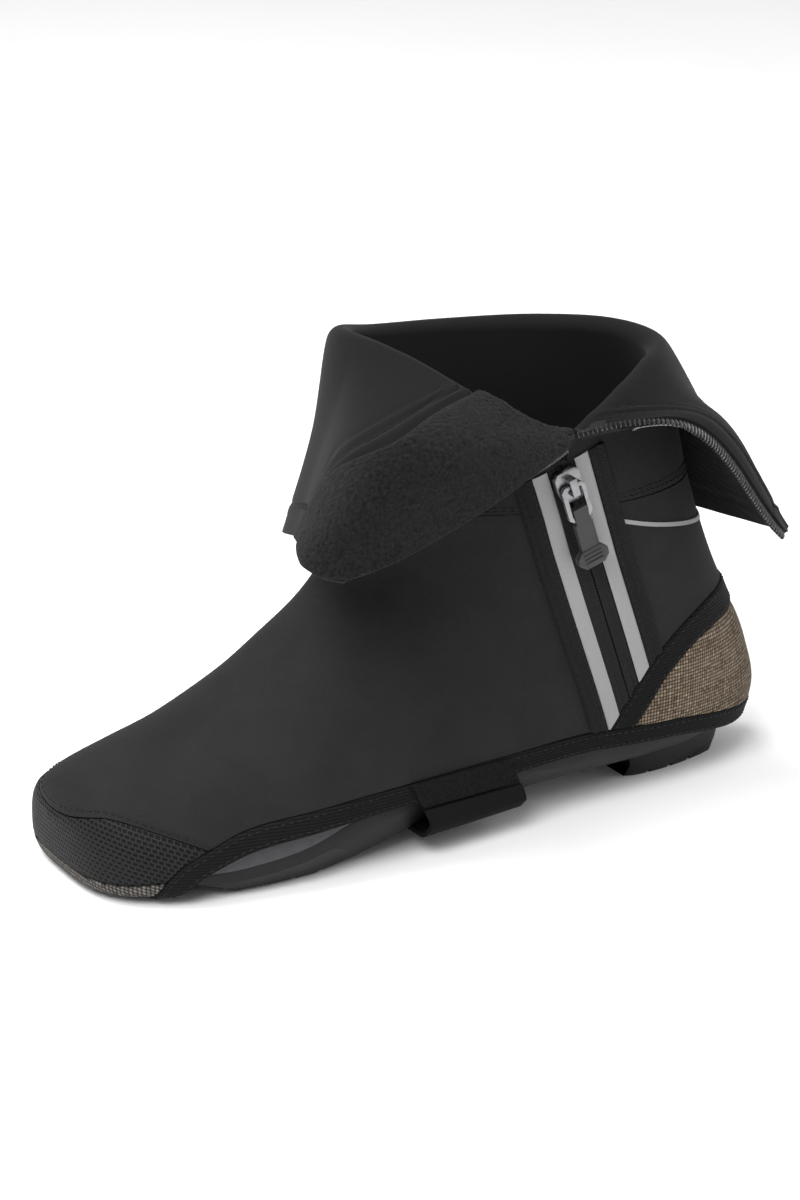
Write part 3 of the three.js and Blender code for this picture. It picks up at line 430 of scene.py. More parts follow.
def calc(tree, operation, *values):
    return add(tree, "ShaderNodeMath", dict(enumerate(values)), operation=operation).outputs[0]


def ramp(tree, value, *stops):
    """The colour for a value from a row of (position, hex) stops."""
    made = add(tree, "ShaderNodeValToRGB", {"Fac": value})
    elements = made.color_ramp.elements
    elements[0].position, elements[-1].position = stops[0][0], stops[-1][0]
    for position, _ in stops[1:-1]:
        elements.new(position)
    for element, (_, code) in zip(elements, stops):
        element.color = colour(code)
    return made.outputs["Color"]


def dress(tree, shader, paint, height, strength, distance):
    """Links a colour and a bump to the shader."""
    bump = add(tree, "ShaderNodeBump", {"Height": height, "Strength": strength, "Distance": distance})
    tree.links.new(paint, shader.inputs["Base Color"])
    tree.links.new(bump.outputs["Normal"], shader.inputs["Normal"])


# %% [markdown]
# ### Knitted neoprene
# Closed-cell foam with nylon jersey glued on its face. The jersey's loops lean, so the face has very fine diagonal
# ribs and a soft sheen at grazing angles. The ribs are drawn 0.9 mm apart, coarser than the real ones, so that
# they show. The cloth's back, and so the outside of the turned-out collar, is a plainer and darker jersey.

# %% Knitted neoprene and its lining
RIB_PITCH = 0.0009
RIB_LEAN = math.radians(38)
WAVE_SCALE = 0.314  # a wave texture of scale WAVE_SCALE / pitch repeats once per pitch


def knitted(name, base, light, pitch, strength, lean):
    material, tree, shader = new_material(
        name, base, Roughness=0.85, Specular_IOR_Level=0.12, Sheen_Weight=0.1, Sheen_Roughness=0.45
    )
    shader.inputs["Sheen Tint"].default_value = colour("#8a8a8c")
    where = add(tree, "ShaderNodeTexCoord").outputs["Object"]
    turned = add(tree, "ShaderNodeMapping", {"Vector": where, "Rotation": (0, lean, 0)}).outputs[0]
    wobble = add(tree, "ShaderNodeTexNoise", {"Vector": where, "Scale": 900.0, "Detail": 2.0})
    ribs = add(tree, "ShaderNodeTexWave", {"Vector": turned, "Scale": WAVE_SCALE / pitch}, bands_direction="X")
    height = calc(tree, "MULTIPLY", ribs.outputs["Fac"], wobble.outputs["Fac"])
    patches = add(tree, "ShaderNodeTexNoise", {"Vector": where, "Scale": 22.0, "Detail": 4.0, "Roughness": 0.6})
    # painted shade: the colour is multiplied by the rib height, so the grooves between the ribs are painted darker
    groove_shade = add(tree, "ShaderNodeMix", {"Factor": 0.35}, data_type="RGBA", blend_type="MULTIPLY")
    tree.links.new(ramp(tree, patches.outputs["Fac"], (0.35, base), (0.7, light)), groove_shade.inputs["A"])
    tree.links.new(height, groove_shade.inputs["B"])
    dress(tree, shader, groove_shade.outputs["Result"], height, strength, 0.0004)
    return material


neoprene = knitted("knitted_neoprene", "#222222", "#2a2a2a", RIB_PITCH, 0.35, RIB_LEAN)

# %% [markdown]
# ### Webbing, woven panels and mesh
# The bindings are ribbed black webbing. The heel counter is a coarse basket weave of brown and tan yarn:
# two sets of threads pass over each other in turn, so the height of one set hides the other by turns. The toe
# panel is an open mesh with staggered holes.

# %% Webbing, basket weave and mesh
def woven_rows(name, base, light, pitch, roughness, bump_strength):
    """Ribs across a strip, from the piece's own UV map in metres. Their crests are painted lighter and their
    grooves darker, as painted light and shade.
    """
    material, tree, shader = new_material(name, base, Roughness=roughness, Specular_IOR_Level=0.1)
    uv = add(tree, "ShaderNodeTexCoord").outputs["UV"]
    waves = {"Vector": uv, "Scale": WAVE_SCALE / pitch, "Distortion": 0.6, "Detail": 1.0}
    ribs = add(tree, "ShaderNodeTexWave", waves, bands_direction="Y").outputs["Fac"]
    grain = add(tree, "ShaderNodeTexNoise", {"Vector": uv, "Scale": 1400.0, "Detail": 2.0}).outputs["Fac"]
    # painted light and shade: the ribs that make the bump also colour the crests light and the grooves dark
    paint = ramp(tree, ribs, (0, base), (1, light))
    dress(tree, shader, paint, calc(tree, "ADD", ribs, grain), bump_strength, 0.0003)
    return material


def basket_weave(name, yarns, gap, pitch):
    """Two sets of yarns in turn on top. Each yarn and crossing draws its own tone from the row of colours. Each
    yarn is painted darker towards its borders and where it dips, as shade, down to the dark of the gaps between the
    yarns.
    """
    material, tree, shader = new_material(name, yarns[0], Roughness=0.85, Specular_IOR_Level=0.12)
    uv = add(tree, "ShaderNodeTexCoord").outputs["UV"]
    scaled = add(tree, "ShaderNodeVectorMath", {0: uv, 3: 1 / pitch}, operation="SCALE").outputs[0]
    parts = add(tree, "ShaderNodeSeparateXYZ", {0: scaled}).outputs
    row = [calc(tree, "FLOOR", parts[k]) for k in (0, 1)]
    crown = [
        calc(tree, "ABSOLUTE", calc(tree, "SINE", calc(tree, "MULTIPLY", parts[k], math.pi))) for k in (0, 1)
    ]
    tone = [add(tree, "ShaderNodeTexWhiteNoise", {"W": w}, noise_dimensions="1D").outputs["Value"] for w in row]
    over = calc(tree, "FLOORED_MODULO", calc(tree, "ADD", *row), 2.0)

    def by_turns(a, b):
        return add(tree, "ShaderNodeMix", {"Factor": over, "A": a, "B": b}, data_type="FLOAT").outputs["Result"]

    rounded = calc(tree, "POWER", by_turns(*crown), 0.8)
    dipped = calc(tree, "MULTIPLY_ADD", by_turns(*crown[::-1]), 0.85, 0.15)
    height = calc(tree, "MULTIPLY", rounded, dipped)
    cell = add(tree, "ShaderNodeCombineXYZ", dict(enumerate(row))).outputs[0]
    speck = add(tree, "ShaderNodeTexWhiteNoise", {"Vector": cell}, noise_dimensions="2D").outputs["Value"]
    drawn = calc(tree, "MULTIPLY", calc(tree, "ADD", by_turns(*tone), speck), 0.5)
    paint = ramp(tree, drawn, *((k / (len(yarns) - 1), code) for k, code in enumerate(yarns)))
    # painted shade: following the yarn's height, the colour runs down to the dark gap colour at the yarns' borders
    # and dips
    shaded = add(tree, "ShaderNodeMix", {"Factor": height, "A": colour(gap), "B": paint}, data_type="RGBA")
    dress(tree, shader, shaded.outputs["Result"], height, 0.7, 0.0005)
    return material


def open_mesh(name, thread, hole_shade, pitch):
    """Staggered holes: the bricks of a brick pattern are the holes, its mortar the threads. The holes are painted
    near black: the dark layer under the mesh with painted shade inside the holes.
    """
    material, tree, shader = new_material(name, thread, Roughness=0.6, Specular_IOR_Level=0.12)
    bricks = {"Scale": 1.0, "Mortar Size": 0.3 * pitch, "Mortar Smooth": 0.7, "Brick Width": pitch}
    # painted shade: the holes take the near-black colour
    bricks |= {"Color1": colour(hole_shade), "Color2": colour(hole_shade), "Mortar": colour(thread)}
    bricks["Row Height"] = 0.87 * pitch
    bricks["Vector"] = add(tree, "ShaderNodeTexCoord").outputs["UV"]
    holes = add(tree, "ShaderNodeTexBrick", bricks, offset=0.5)
    dress(tree, shader, holes.outputs["Color"], holes.outputs["Fac"], 0.8, 0.0005)
    return material


# each ribbed tape runs from its first colour in the rib grooves, as painted shade, to its second on the crests, as
# painted light
webbing = woven_rows("ribbed_webbing", "#080809", "#151516", 0.0011, 0.75, 0.6)
grosgrain = woven_rows("grosgrain_tape", "#111112", "#212122", 0.0009, 0.7, 0.6)
chain_tape = woven_rows("woven_chain_tape", "#121213", "#262627", 0.0008, 0.65, 0.7)
# the dark last colour of each weave is the gaps between the yarns and the painted shade on the yarns' sides
counter_weave = basket_weave("basket_weave", ["#5c4e42", "#83735f", "#978777", "#b0a190"], "#080706", 0.0013)
guard_weave = basket_weave("grey_basket_weave", ["#4d4a47", "#6b6763", "#827e79"], "#080808", 0.0013)
# the near black of the holes is the dark layer under the mesh, darkened further as painted shade
toe_mesh = open_mesh("perforated_mesh", "#202021", "#040404", 0.0019)

# %% [markdown]
# ### Fleece, film, rubber and metal
# Brushed fleece scatters light, so it gets sheen and several sizes of noise. Reflective film is full of tiny glass
# beads and looks like flat light grey. The slider is nickel-plated zinc, and the grip and the sole are moulded.

# %% Fleece, film, rubber and metal
def noisy(name, base, light, scale, strength, distance, **sockets):
    """A material whose tone and bump follow one noise."""
    material, tree, shader = new_material(name, base, **sockets)
    where = add(tree, "ShaderNodeTexCoord").outputs["Object"]
    grain = add(tree, "ShaderNodeTexNoise", {"Vector": where, "Scale": scale, "Detail": 6.0, "Roughness": 0.7})
    grain = grain.outputs["Fac"]
    dress(tree, shader, ramp(tree, grain, (0.3, base), (0.75, light)), grain, strength, distance)
    return material


CLOTH = {"Roughness": 0.95, "Specular_IOR_Level": 0.08}
lining = noisy(
    "jersey_lining", "#131314", "#191919", 1300.0, 0.3, 0.0002,
    Roughness=0.88, Specular_IOR_Level=0.1, Sheen_Weight=0.04,
)
fleece = noisy("brushed_fleece", "#030303", "#272728", 800.0, 1.0, 0.0012, Sheen_Weight=0.05, **CLOTH)
hook_tape = noisy("hook_and_loop_tape", "#070707", "#222223", 1100.0, 1.0, 0.0008, **CLOTH)
elastic = noisy(
    "elastic_webbing", "#0c0c0d", "#141415", 1500.0, 0.4, 0.0002,
    Roughness=0.85, Specular_IOR_Level=0.1,
)
film = noisy("reflective_film", "#7c7c7d", "#8c8c8d", 2500.0, 0.1, 0.0002, Roughness=0.42)
thread = noisy("bonded_thread", "#0d0d0e", "#1f1f20", 1500.0, 0.3, 0.0002, Roughness=0.6, Specular_IOR_Level=0.2)
sole_rubber = noisy(
    "moulded_rubber", "#0e0e0f", "#161617", 1200.0, 0.25, 0.0002,
    Roughness=0.55, Specular_IOR_Level=0.25,
)
rand_skin = noisy(
    "coated_microfibre", "#2f2f32", "#3a3a3d", 300.0, 0.2, 0.0002,
    Roughness=0.5, Specular_IOR_Level=0.3, Coat_Weight=0.1,
)
footbed = noisy("felt_footbed", "#171718", "#202021", 800.0, 0.5, 0.0003, Roughness=0.95)
nickel = noisy("nickel_plate", "#7e7e80", "#989899", 400.0, 0.05, 0.0001, Roughness=0.3, Metallic=1.0)
grip_rubber = noisy("moulded_grip", "#1f1f20", "#2a2a2b", 1500.0, 0.2, 0.0001, Roughness=0.5)
coil_plastic = noisy("coil_plastic", "#1c1c1d", "#585859", 700.0, 0.1, 0.0001, Roughness=0.25)
matt_paper = noisy("matt_paper", "#fbfbfb", "#ffffff", 3.0, 0.0, 0.0001, Roughness=0.9)
print("materials:", len(bpy.data.materials))

# %% [markdown]
# ## The cover's panels
# The form's grid is spaced evenly around each section, because the squared lower corners would otherwise stretch
# the faces. Its two edges meet on the sole line and are merged.

# %% A grid on the form
def even_angles(power=3.6, count=2000):
    """Angles that are about evenly spaced along a section."""
    turn = np.linspace(0, np.pi, count)
    p = np.where(turn < np.pi / 2, 1.0, 2 / power)
    x, y = np.sin(turn).clip(0) ** p, np.sign(np.cos(turn)) * np.abs(np.cos(turn)) ** p
    run = run_along(np.stack([x, y], -1))
    return run / run[-1], turn


EVEN_RUN, EVEN_TURN = even_angles()


def form_grid(first, last, rows, columns=190, closed_toe=False):
    """The form between two stations as a bmesh in mm, with its faces outwards."""

    def shape(u, v):
        side = np.sign(u - 0.5)
        angle = side * np.interp(np.abs(2 * u - 1), EVEN_RUN, EVEN_TURN)
        station = first + (last - first) * v
        p = form_point(station, angle)
        if closed_toe:
            hub = form_point(0.0, np.array([0.0, np.pi])).mean(0)
            p[v < 1e-6] = hub
        return p

    bm = wrapped_grid(columns, rows, shape)
    bmesh.ops.remove_doubles(bm, verts=bm.verts, dist=0.02)
    face_outwards(bm, form_point((first + last) / 2, np.array([0.0, np.pi])).mean(0))
    return bm


def round_end(end, centre, radius, slope=0.0):
    """A function that gives UV in metres: the way round a toe or heel, round beyond x = end, and the height."""

    def uv(p):
        beyond = (p[:, 0] - end) * math.copysign(1, end)
        across = p[:, 1] - centre
        turned = radius * np.arctan2(across, beyond.clip(1e-3))
        run = np.where(beyond > 0, turned, np.sign(across) * (radius * np.pi / 2 - beyond))
        return np.stack([run, p[:, 2] + slope * p[:, 0]], -1) * MM

    return uv


wrap_heel = round_end(100, 0, 40)
wrap_toe = round_end(-95, 4, 38, 0.35)


def wrap_foot(p):
    return np.stack([p[:, 0], p[:, 2]], -1) * MM


# %% [markdown]
# Neoprene stands nearly smooth over the foot. What shows are shallow creases where it bends at the ankle and a
# few dents, each listed: where it lies in side view, how far it runs and which way, and its depth in mm.
# few dents, each placed by hand: where it lies in side view, how far it runs and which way, and its depth in mm.

# %% Creases
# the columns: side, x, z, run, slope, half width, depth
CREASES = [
    [-1, -0.060, 0.800, 0.120, 0.55, 0.016, 0.9],
    [-1, -0.020, 0.880, 0.110, 0.35, 0.014, 0.7],
    [-1, -0.150, 0.450, 0.160, 0.40, 0.030, 0.5],
    [-1, 0.060, 0.560, 0.150, 0.75, 0.030, 0.6],
    [-1, 0.280, 0.760, 0.070, -0.25, 0.012, 0.6],
    [1, -0.040, 0.840, 0.150, 0.45, 0.018, 0.9],
    [1, 0.200, 0.700, 0.180, -0.30, 0.022, 0.9],
    [1, 0.100, 0.480, 0.160, 0.60, 0.030, 0.6],
    [1, -0.160, 0.460, 0.140, 0.35, 0.026, 0.6],
]


def creased(p):
    depth = np.zeros(len(p))
    for side, x, z, run, slope, half_width, deep in CREASES:
        offset = p[:, ::2] - [x * COVER_LENGTH, z * SEAM_HEIGHT]
        way = np.array([1.0, slope]) / math.hypot(1, slope)
        along = offset @ way / (run * COVER_LENGTH / 2)
        across = offset @ np.array([-way[1], way[0]]) / (half_width * COVER_LENGTH)
        across = across + 0.25 * along**2
        on_side = np.clip(p[:, 1] * side / 12, 0, 1)
        profile = bump_at(across, 0, 1) - 0.35 * bump_at(across, 1.7, 1)  # a groove with a low ridge beside it
        depth -= deep * on_side * np.exp(-(along**2) * 1.6) * profile
    return depth


# %% Upper
SEAM_GROOVE = 0.5
COUNTER_SWELL = 0.5


def near_seam(distance, width=0.9):
    return bump_at(distance, 0, width)


upper = form_grid(0, SEAM_STATION, 260, 200, closed_toe=True)
trim(upper, above_binding, lambda p: toe_seam(p) - CLEARANCE, above_counter)
trim(upper, lambda p: np.abs(from_zip(p)) - CHAIN_HALF_WIDTH)
lift(upper, creased)
lift(upper, lambda p: -SEAM_GROOVE * near_seam(toe_seam(p) - CLEARANCE, 1.2))
finish_piece("upper_neoprene", upper, [neoprene, lining], ["upper"], wall=WALL)

# %% Toe panel, toe guard and heel counter
toe_panel = form_grid(0, 7.5, 110, 170, closed_toe=True)
toe_guard = toe_panel.copy()
trim(toe_panel, above_binding, lambda p: -toe_seam(p), guard_seam)
lift(toe_panel, lambda p: -SEAM_GROOVE * (near_seam(toe_seam(p)) + near_seam(guard_seam(p))))
finish_piece("toe_mesh_panel", toe_panel, [toe_mesh, lining], ["toe_panel"], wall=WALL, uv=wrap_toe)
trim(toe_guard, above_binding, lambda p: -guard_seam(p) - CLEARANCE)
finish_piece(
    "toe_guard_weave", toe_guard, [guard_weave, lining], ["toe_guard"], wall=WALL, uv=wrap_toe
)

heel_counter = form_grid(10.4, 16.2, 130, 190)
trim(heel_counter, above_binding, in_counter)
lift(heel_counter, lambda p: COUNTER_SWELL * (1 - near_seam(in_counter(p), 3)))
finish_piece(
    "heel_counter_weave", heel_counter, [counter_weave, lining], ["heel_counter"],
    wall=WALL, uv=wrap_heel,
)

# %% [markdown]
# ## Bindings
# Each binding is folded webbing, sewn on both edges, so it is proud of the panels and rolls down to them at its
# borders. Extra cuts along lines beside the seam give the roll its points.

# %% Lower and counter bindings
def rolled(field, width, height, roll=1.3):
    """Height of a binding over the form: a round roll at both borders."""

    def amount(p):
        inside = np.clip(np.minimum(field(p), width - field(p)) / roll, 0, 1)
        return height * np.sqrt(1 - (1 - inside) ** 2)

    return amount


def binding(bm, field, width, height):
    trim(bm, field, lambda p: width - field(p))
    for level in (0.3, 0.8, 1.5, width - 1.5, width - 0.8, width - 0.3):
        cut(bm, lambda p: field(p) - level)
    lift(bm, rolled(field, width, height))


lower_binding = form_grid(1.5, 14.2, 230, 200)
trim(lower_binding, lambda p: EDGE_BAND + 2 - lower_edge(p))
binding(lower_binding, lower_edge, EDGE_BAND, BINDING_PROUD)
finish_piece(
    "lower_binding_webbing", lower_binding, [webbing, lining], ["lower_binding"],
    wall=WALL, uv=wrap_foot,
)

counter_binding = form_grid(9.6, 17.2, 150, 190)
trim(counter_binding, above_binding)
binding(counter_binding, lambda p: -counter_line(p), COUNTER_BAND, BINDING_PROUD)
finish_piece(
    "counter_binding_webbing", counter_binding, [webbing, lining], ["counter_binding"],
    wall=WALL, uv=wrap_heel,
)

# %% [markdown]
# ## Collar
# The collar is one band sewn to the ankle seam. It rises with the leg, folds over and hangs outside like two
# lapels, so its lining shows on the outside and inside the mouth. Each of its columns is worked out in three parts:
# the rise, a round bend at the fold, and a hanging curve through a middle point and the hem.

# %% The collar's surface
# the columns: turn in degrees, station of the fold, the middle point's x, y and z, the hem's x, y and z
COLLAR = np.array(
    [
        [-86, 19.02, 0.010, -0.62, 1.149, -0.188, -0.61, 0.950],
        [-77, 19.12, -0.067, -0.635, 1.248, -0.205, -0.57, 0.959],
        [-64, 19.37, -0.104, -0.6, 1.298, -0.215, -0.5, 0.975],
        [-45, 19.66, -0.124, -0.5, 1.306, -0.201, -0.4, 0.983],
        [-28, 19.87, -0.128, -0.34, 1.281, -0.174, -0.27, 0.959],
        [-8, 19.98, -0.107, -0.1, 1.240, -0.144, -0.06, 0.926],
        [25, 19.87, -0.067, 0.2, 1.157, -0.101, 0.26, 0.851],
        [60, 19.7, 0.030, 0.48, 1.107, 0.007, 0.52, 0.810],
        [95, 19.7, 0.151, 0.54, 1.091, 0.154, 0.58, 0.777],
        [130, 19.82, 0.275, 0.46, 1.091, 0.302, 0.49, 0.760],
        [165, 19.97, 0.372, 0.19, 1.083, 0.413, 0.22, 0.760],
        [195, 19.97, 0.396, -0.12, 1.091, 0.450, -0.14, 0.769],
        [225, 19.87, 0.369, -0.36, 1.140, 0.456, -0.34, 0.785],
        [247, 19.55, 0.329, -0.5, 1.198, 0.450, -0.45, 0.802],
        [262, 19.25, 0.292, -0.58, 1.231, 0.440, -0.5, 0.802],
        [272, 19.02, 0.268, -0.61, 1.236, 0.433, -0.52, 0.810],
    ]
)
FIRST_TURN, LAST_TURN = COLLAR[0, 0], COLLAR[-1, 0]
SCALE = np.array([COVER_LENGTH, BALL_WIDTH, SEAM_HEIGHT])


def collar_row(turn):
    return np.interp(turn, COLLAR[:, 0], np.arange(len(COLLAR)))


def in_section_plane(station, angle):
    """The form's normal without the part of it that leans out of the section."""
    chord = form_point(station, 0.0) - form_point(station, np.pi)
    across = unit(np.stack([-chord[..., 2], 0 * chord[..., 0], chord[..., 0]], -1))
    normal = form_normal(station, angle)
    return unit(normal - across * (normal * across).sum(-1, keepdims=True))


def fold_point(turn):
    """The middle of the cloth where the fold would be if the collar stood straight."""
    fold, angle = between(COLLAR, 1, collar_row(turn)), np.radians(turn)
    return form_point(fold, angle) - form_normal(fold, angle) * WALL / 2


def hermite(a, b, slope_a, slope_b, t):
    t = t[..., None]
    bend = 3 * (b - a) - 2 * slope_a - slope_b
    twist = 2 * (a - b) + slope_a + slope_b
    return a + t * slope_a + t**2 * bend + t**3 * twist


def centripetal(before, a, b, after, t):
    """A point between a and b on the smooth curve through four points."""
    spans = ((before, a), (a, b), (b, after))
    d0, d1, d2 = (np.sqrt(np.linalg.norm(q - p, axis=-1, keepdims=True)).clip(1e-4) for p, q in spans)
    slope_a = ((a - before) / d0 - (b - before) / (d0 + d1) + (b - a) / d1) * d1
    slope_b = ((b - a) / d1 - (after - a) / (d1 + d2) + (after - b) / d2) * d1
    return hermite(a, b, slope_a, slope_b, t)


def collar_surface(turn, q):
    """The middle of the collar's cloth. q is 0 to 1 up the leg, to 2 round the fold and to 3 down to the hem."""
    turn, q = as_pair(turn, q)
    row, angle = collar_row(turn), np.radians(turn)
    fold = between(COLLAR, 1, row)
    normal = form_normal(fold, angle)
    along = unit(fold_point(np.minimum(turn + 1, LAST_TURN)) - fold_point(np.maximum(turn - 1, FIRST_TURN)))
    up = unit(np.cross(along, normal))
    up = up * np.sign(up[..., 2:])
    start = fold_point(turn) - up * FOLD_RADIUS
    seam = SEAM_STATION + 0.02
    seam_point = form_point(seam, angle) - in_section_plane(seam, angle) * WALL / 2
    share = np.clip(q, 0, 1)
    station = seam + (fold - seam) * share
    flat = np.clip(3 * share, 0, 1)[..., None]
    inward = unit(in_section_plane(station, angle) * (1 - flat) + form_normal(station, angle) * flat)
    on_leg = form_point(station, angle) - inward * WALL / 2
    share = share[..., None]
    rise = on_leg + (seam_point + (start - seam_point) * share - on_leg) * share**2
    middle, hem = (np.stack([between(COLLAR, k + j, row) for j in range(3)], -1) * SCALE for k in (2, 5))
    whole_bend = np.arctan2(((middle - start) * normal).sum(-1), ((middle - start) * up).sum(-1))
    whole_bend = np.where(whole_bend < 0, np.pi, np.maximum(whole_bend, 0.25 * np.pi))

    def on_fold(share):
        bend = (whole_bend * share)[..., None]
        return start + up * FOLD_RADIUS * np.sin(bend) + normal * FOLD_RADIUS * (1 - np.cos(bend))

    folded, before, end = on_fold(np.clip(q - 1, 0, 1)), on_fold(0.75), on_fold(1.0)
    t = 2 * np.clip(q - 2, 0, 1)
    hang = np.where(
        (t < 1)[..., None],
        centripetal(before, end, middle, hem, np.clip(t, 0, 1)),
        centripetal(end, middle, hem, 2 * hem - middle, np.clip(t - 1, 0, 1)),
    )
    return np.where((q < 1)[..., None], rise, np.where((q < 2)[..., None], folded, hang))


def collar_normal(turn, q, nudge=(1.5, 0.04)):
    """The side of the lining."""
    turn, q = as_pair(turn, q)
    east, west = np.minimum(turn + nudge[0], LAST_TURN), np.maximum(turn - nudge[0], FIRST_TURN)
    high, low = np.minimum(q + nudge[1], 3), np.maximum(q - nudge[1], 0)
    around = collar_surface(east, q) - collar_surface(west, q)
    along = collar_surface(turn, high) - collar_surface(turn, low)
    return unit(np.cross(around, along))


print("collar: fold at", fold_point(np.array([0.0, 180.0])).round(1).tolist())

# %% [markdown]
# The lapels are soft, so they have a few broad waves. Along the hem 8 mm of the cloth is turned in and sewn
# twice just past its edge, so a faint ridge stands there.

# %% Collar
HEM_TURN_IN = 8.0
FLEECE_WIDTH = 31.0
FLEECE_FLARE = 20.0  # how much wider it is at the hem
# the columns: turn, q, width in turn, width in q, height
LAPEL_WAVES = [
    [-30, 2.45, 14, 0.35, 0.2],
    [-8, 2.35, 12, 0.35, -0.3],
    [20, 2.50, 18, 0.40, 1.4],
    [62, 2.45, 16, 0.40, -1.5],
    [105, 2.55, 20, 0.40, 1.3],
    [148, 2.50, 14, 0.40, -1.3],
    [184, 2.40, 12, 0.35, 1.4],
    [214, 2.50, 10, 0.30, -1.4],
    [240, 2.55, 9, 0.30, 1.2],
    [-40, 0.60, 16, 0.40, 1.2],
    [40, 0.55, 18, 0.40, -1.4],
    [120, 0.50, 20, 0.40, 1.2],
    [200, 0.55, 18, 0.40, -1.2],
]


def lapel_waves(turn, q):
    height = np.zeros_like(q)
    for at, row, width, length, deep in LAPEL_WAVES:
        height += deep * bump_at(turn, at, width) * bump_at(q, row, length)
    return height * np.clip(q / 0.3, 0, 1)


def hem_distance(turn, q):
    """About how far a point is from the hem, in mm."""
    hem, middle, fold = (collar_surface(turn, row) for row in (3.0, 2.5, 2.0))
    return (3 - q) * (np.linalg.norm(hem - middle, axis=-1) + np.linalg.norm(middle - fold, axis=-1))


def inset_turns(edge_turn, distances, q, flare=0.0):
    """For each distance in mm, the turn at each q where the surface is that far from one of its free edges."""
    edge = collar_surface(edge_turn, np.linspace(1.8, 3, 150))
    turns = edge_turn + math.copysign(1, -edge_turn) * np.linspace(0, 85, 150)
    found = []
    for row in q:
        gap = np.linalg.norm(collar_surface(turns, row)[:, None] - edge, axis=-1).min(1)
        wider = flare * np.clip((row - 2.6) / 0.4, 0, 1) ** 1.5
        found.append(np.interp(np.array(distances) + wider, np.maximum.accumulate(gap), turns))
    return np.array(found).T


LAPEL_ROWS = np.linspace(1.5, 3, 46)
FRONT_WELT = inset_turns(FIRST_TURN, [FLEECE_WIDTH + d for d in (0, 2, 4, 6)], LAPEL_ROWS, FLEECE_FLARE)
REAR_SEAM = inset_turns(LAST_TURN, [5, 7, 9, 11], LAPEL_ROWS)


def welt(turn, q, lines, first, heights):
    """A raised line with a groove beside it. lines hold the turn of lines 2 mm apart."""
    distances = first + 2.0 * np.arange(len(lines))
    at = np.array([np.interp(q, LAPEL_ROWS, line) for line in lines])
    slope = (at[-1] - at[0]) / (distances[-1] - distances[0])
    away = distances[1] + (turn - at[1]) / np.where(np.abs(slope) < 1e-3, 1e-3, slope)
    shape = sum(height * bump_at(away, centre, width) for centre, width, height in heights)
    return shape * np.clip((q - 1.7) / 0.25, 0, 1)


def collar_shape(u, v):
    turn, q = FIRST_TURN + (LAST_TURN - FIRST_TURN) * u, 3 * v
    hem = hem_distance(turn, q)
    ridge = (0.35 * bump_at(hem, HEM_TURN_IN, 1.2) - 0.45 * bump_at(hem, HEM_TURN_IN + 1.8, 0.8)) * (q > 2)
    front = welt(turn, q, FRONT_WELT, 0, [(2.2, 1.2, 1.1), (4.3, 0.7, -0.5), (6.0, 1.0, 0.5), (7.6, 0.6, -0.4)])
    rear = welt(turn, q, REAR_SEAM, 5, [(5.6, 0.6, -0.45), (7.4, 1.0, 0.5), (9.2, 0.6, -0.45)])
    height = WALL / 2 + lapel_waves(turn, q) + ridge + front * (turn < 40) + rear * (turn > 200)
    return collar_surface(turn, q) + collar_normal(turn, q) * height[..., None]


collar = wrapped_grid(260, 150, collar_shape)


def face_like(bm, point, direction):
    """Turns all faces if the one nearest to point looks against direction."""
    bm.normal_update()
    point = Vector(point)
    probe = min(bm.faces, key=lambda f: (f.calc_center_median() - point).length_squared)
    if probe.normal.dot(Vector(direction)) < 0:
        bmesh.ops.reverse_faces(bm, faces=bm.faces)


face_like(collar, collar_surface(0.0, 2.5), collar_normal(0.0, 2.5))
collar_piece = finish_piece("turned_out_collar", collar, [lining, neoprene], ["collar"], wall=WALL)

# %% [markdown]
# ## Wind flap
# A band of brushed fleece lies along the front lapel's edge and covers the zip when it is closed. It stands off the
# lapel by its own thickness, is round at its borders, and its pile makes the surface uneven.

# %% Wind flap
FLEECE_THICKNESS = 2.4
FLEECE_OVERHANG = 4.8
OVERHANG_SHARE = 0.16  # of the grid's columns
FLEECE_START = 1.3  # q just inside the fold
PILE = 0.45
TUFT_SIZE = 0.9


def fleece_shape(u, v):
    """u runs from the free edge over the coil to the sewn one, v from the fold to the hem."""
    q = FLEECE_START + (3 - FLEECE_START) * v
    reach = FLEECE_OVERHANG * np.clip((v - 0.05) / 0.15, 0.02, 1) * (1 - 0.7 * v**16)
    inside = np.clip((u - OVERHANG_SHARE) / (1 - OVERHANG_SHARE), 0, 1)
    turn = FIRST_TURN + (np.interp(q, LAPEL_ROWS, FRONT_WELT[0]) - FIRST_TURN) * inside
    base = collar_surface(turn, q)
    away = unit(collar_surface(FIRST_TURN, q) - collar_surface(FIRST_TURN + 4.0, q))
    beyond = np.clip(1 - u / OVERHANG_SHARE, 0, 1) * reach
    border = np.minimum(np.minimum(u / 0.06, (1 - u) / 0.13), np.minimum(v / 0.2, (1 - v) / 0.03)).clip(0, 1)
    height = WALL / 2 + CLEARANCE + FLEECE_THICKNESS * (0.2 + 0.8 * np.sqrt(1 - (1 - border) ** 2))
    tufts = np.array([noise.noise(Vector(p) / TUFT_SIZE) for p in base])
    height = height + lapel_waves(turn, q) + PILE * tufts * border
    return base + away * beyond[..., None] + collar_normal(turn, q) * height[..., None]


flap = wrapped_grid(90, 240, fleece_shape)
face_like(flap, collar_surface(FIRST_TURN + 8, 2.5), collar_normal(FIRST_TURN + 8, 2.5))
flap_wall = FLEECE_THICKNESS - 0.2
flap_piece = finish_piece("fleece_wind_flap", flap, [fleece], ["wind_flap"], wall=flap_wall)

# %% [markdown]
# ## Zip
# Below the slider the zip is closed: two woven halves meet over the coil. A reflective stripe and a ribbed tape lie
# beside each half. All of them are straight strips in side view, bent over the form.

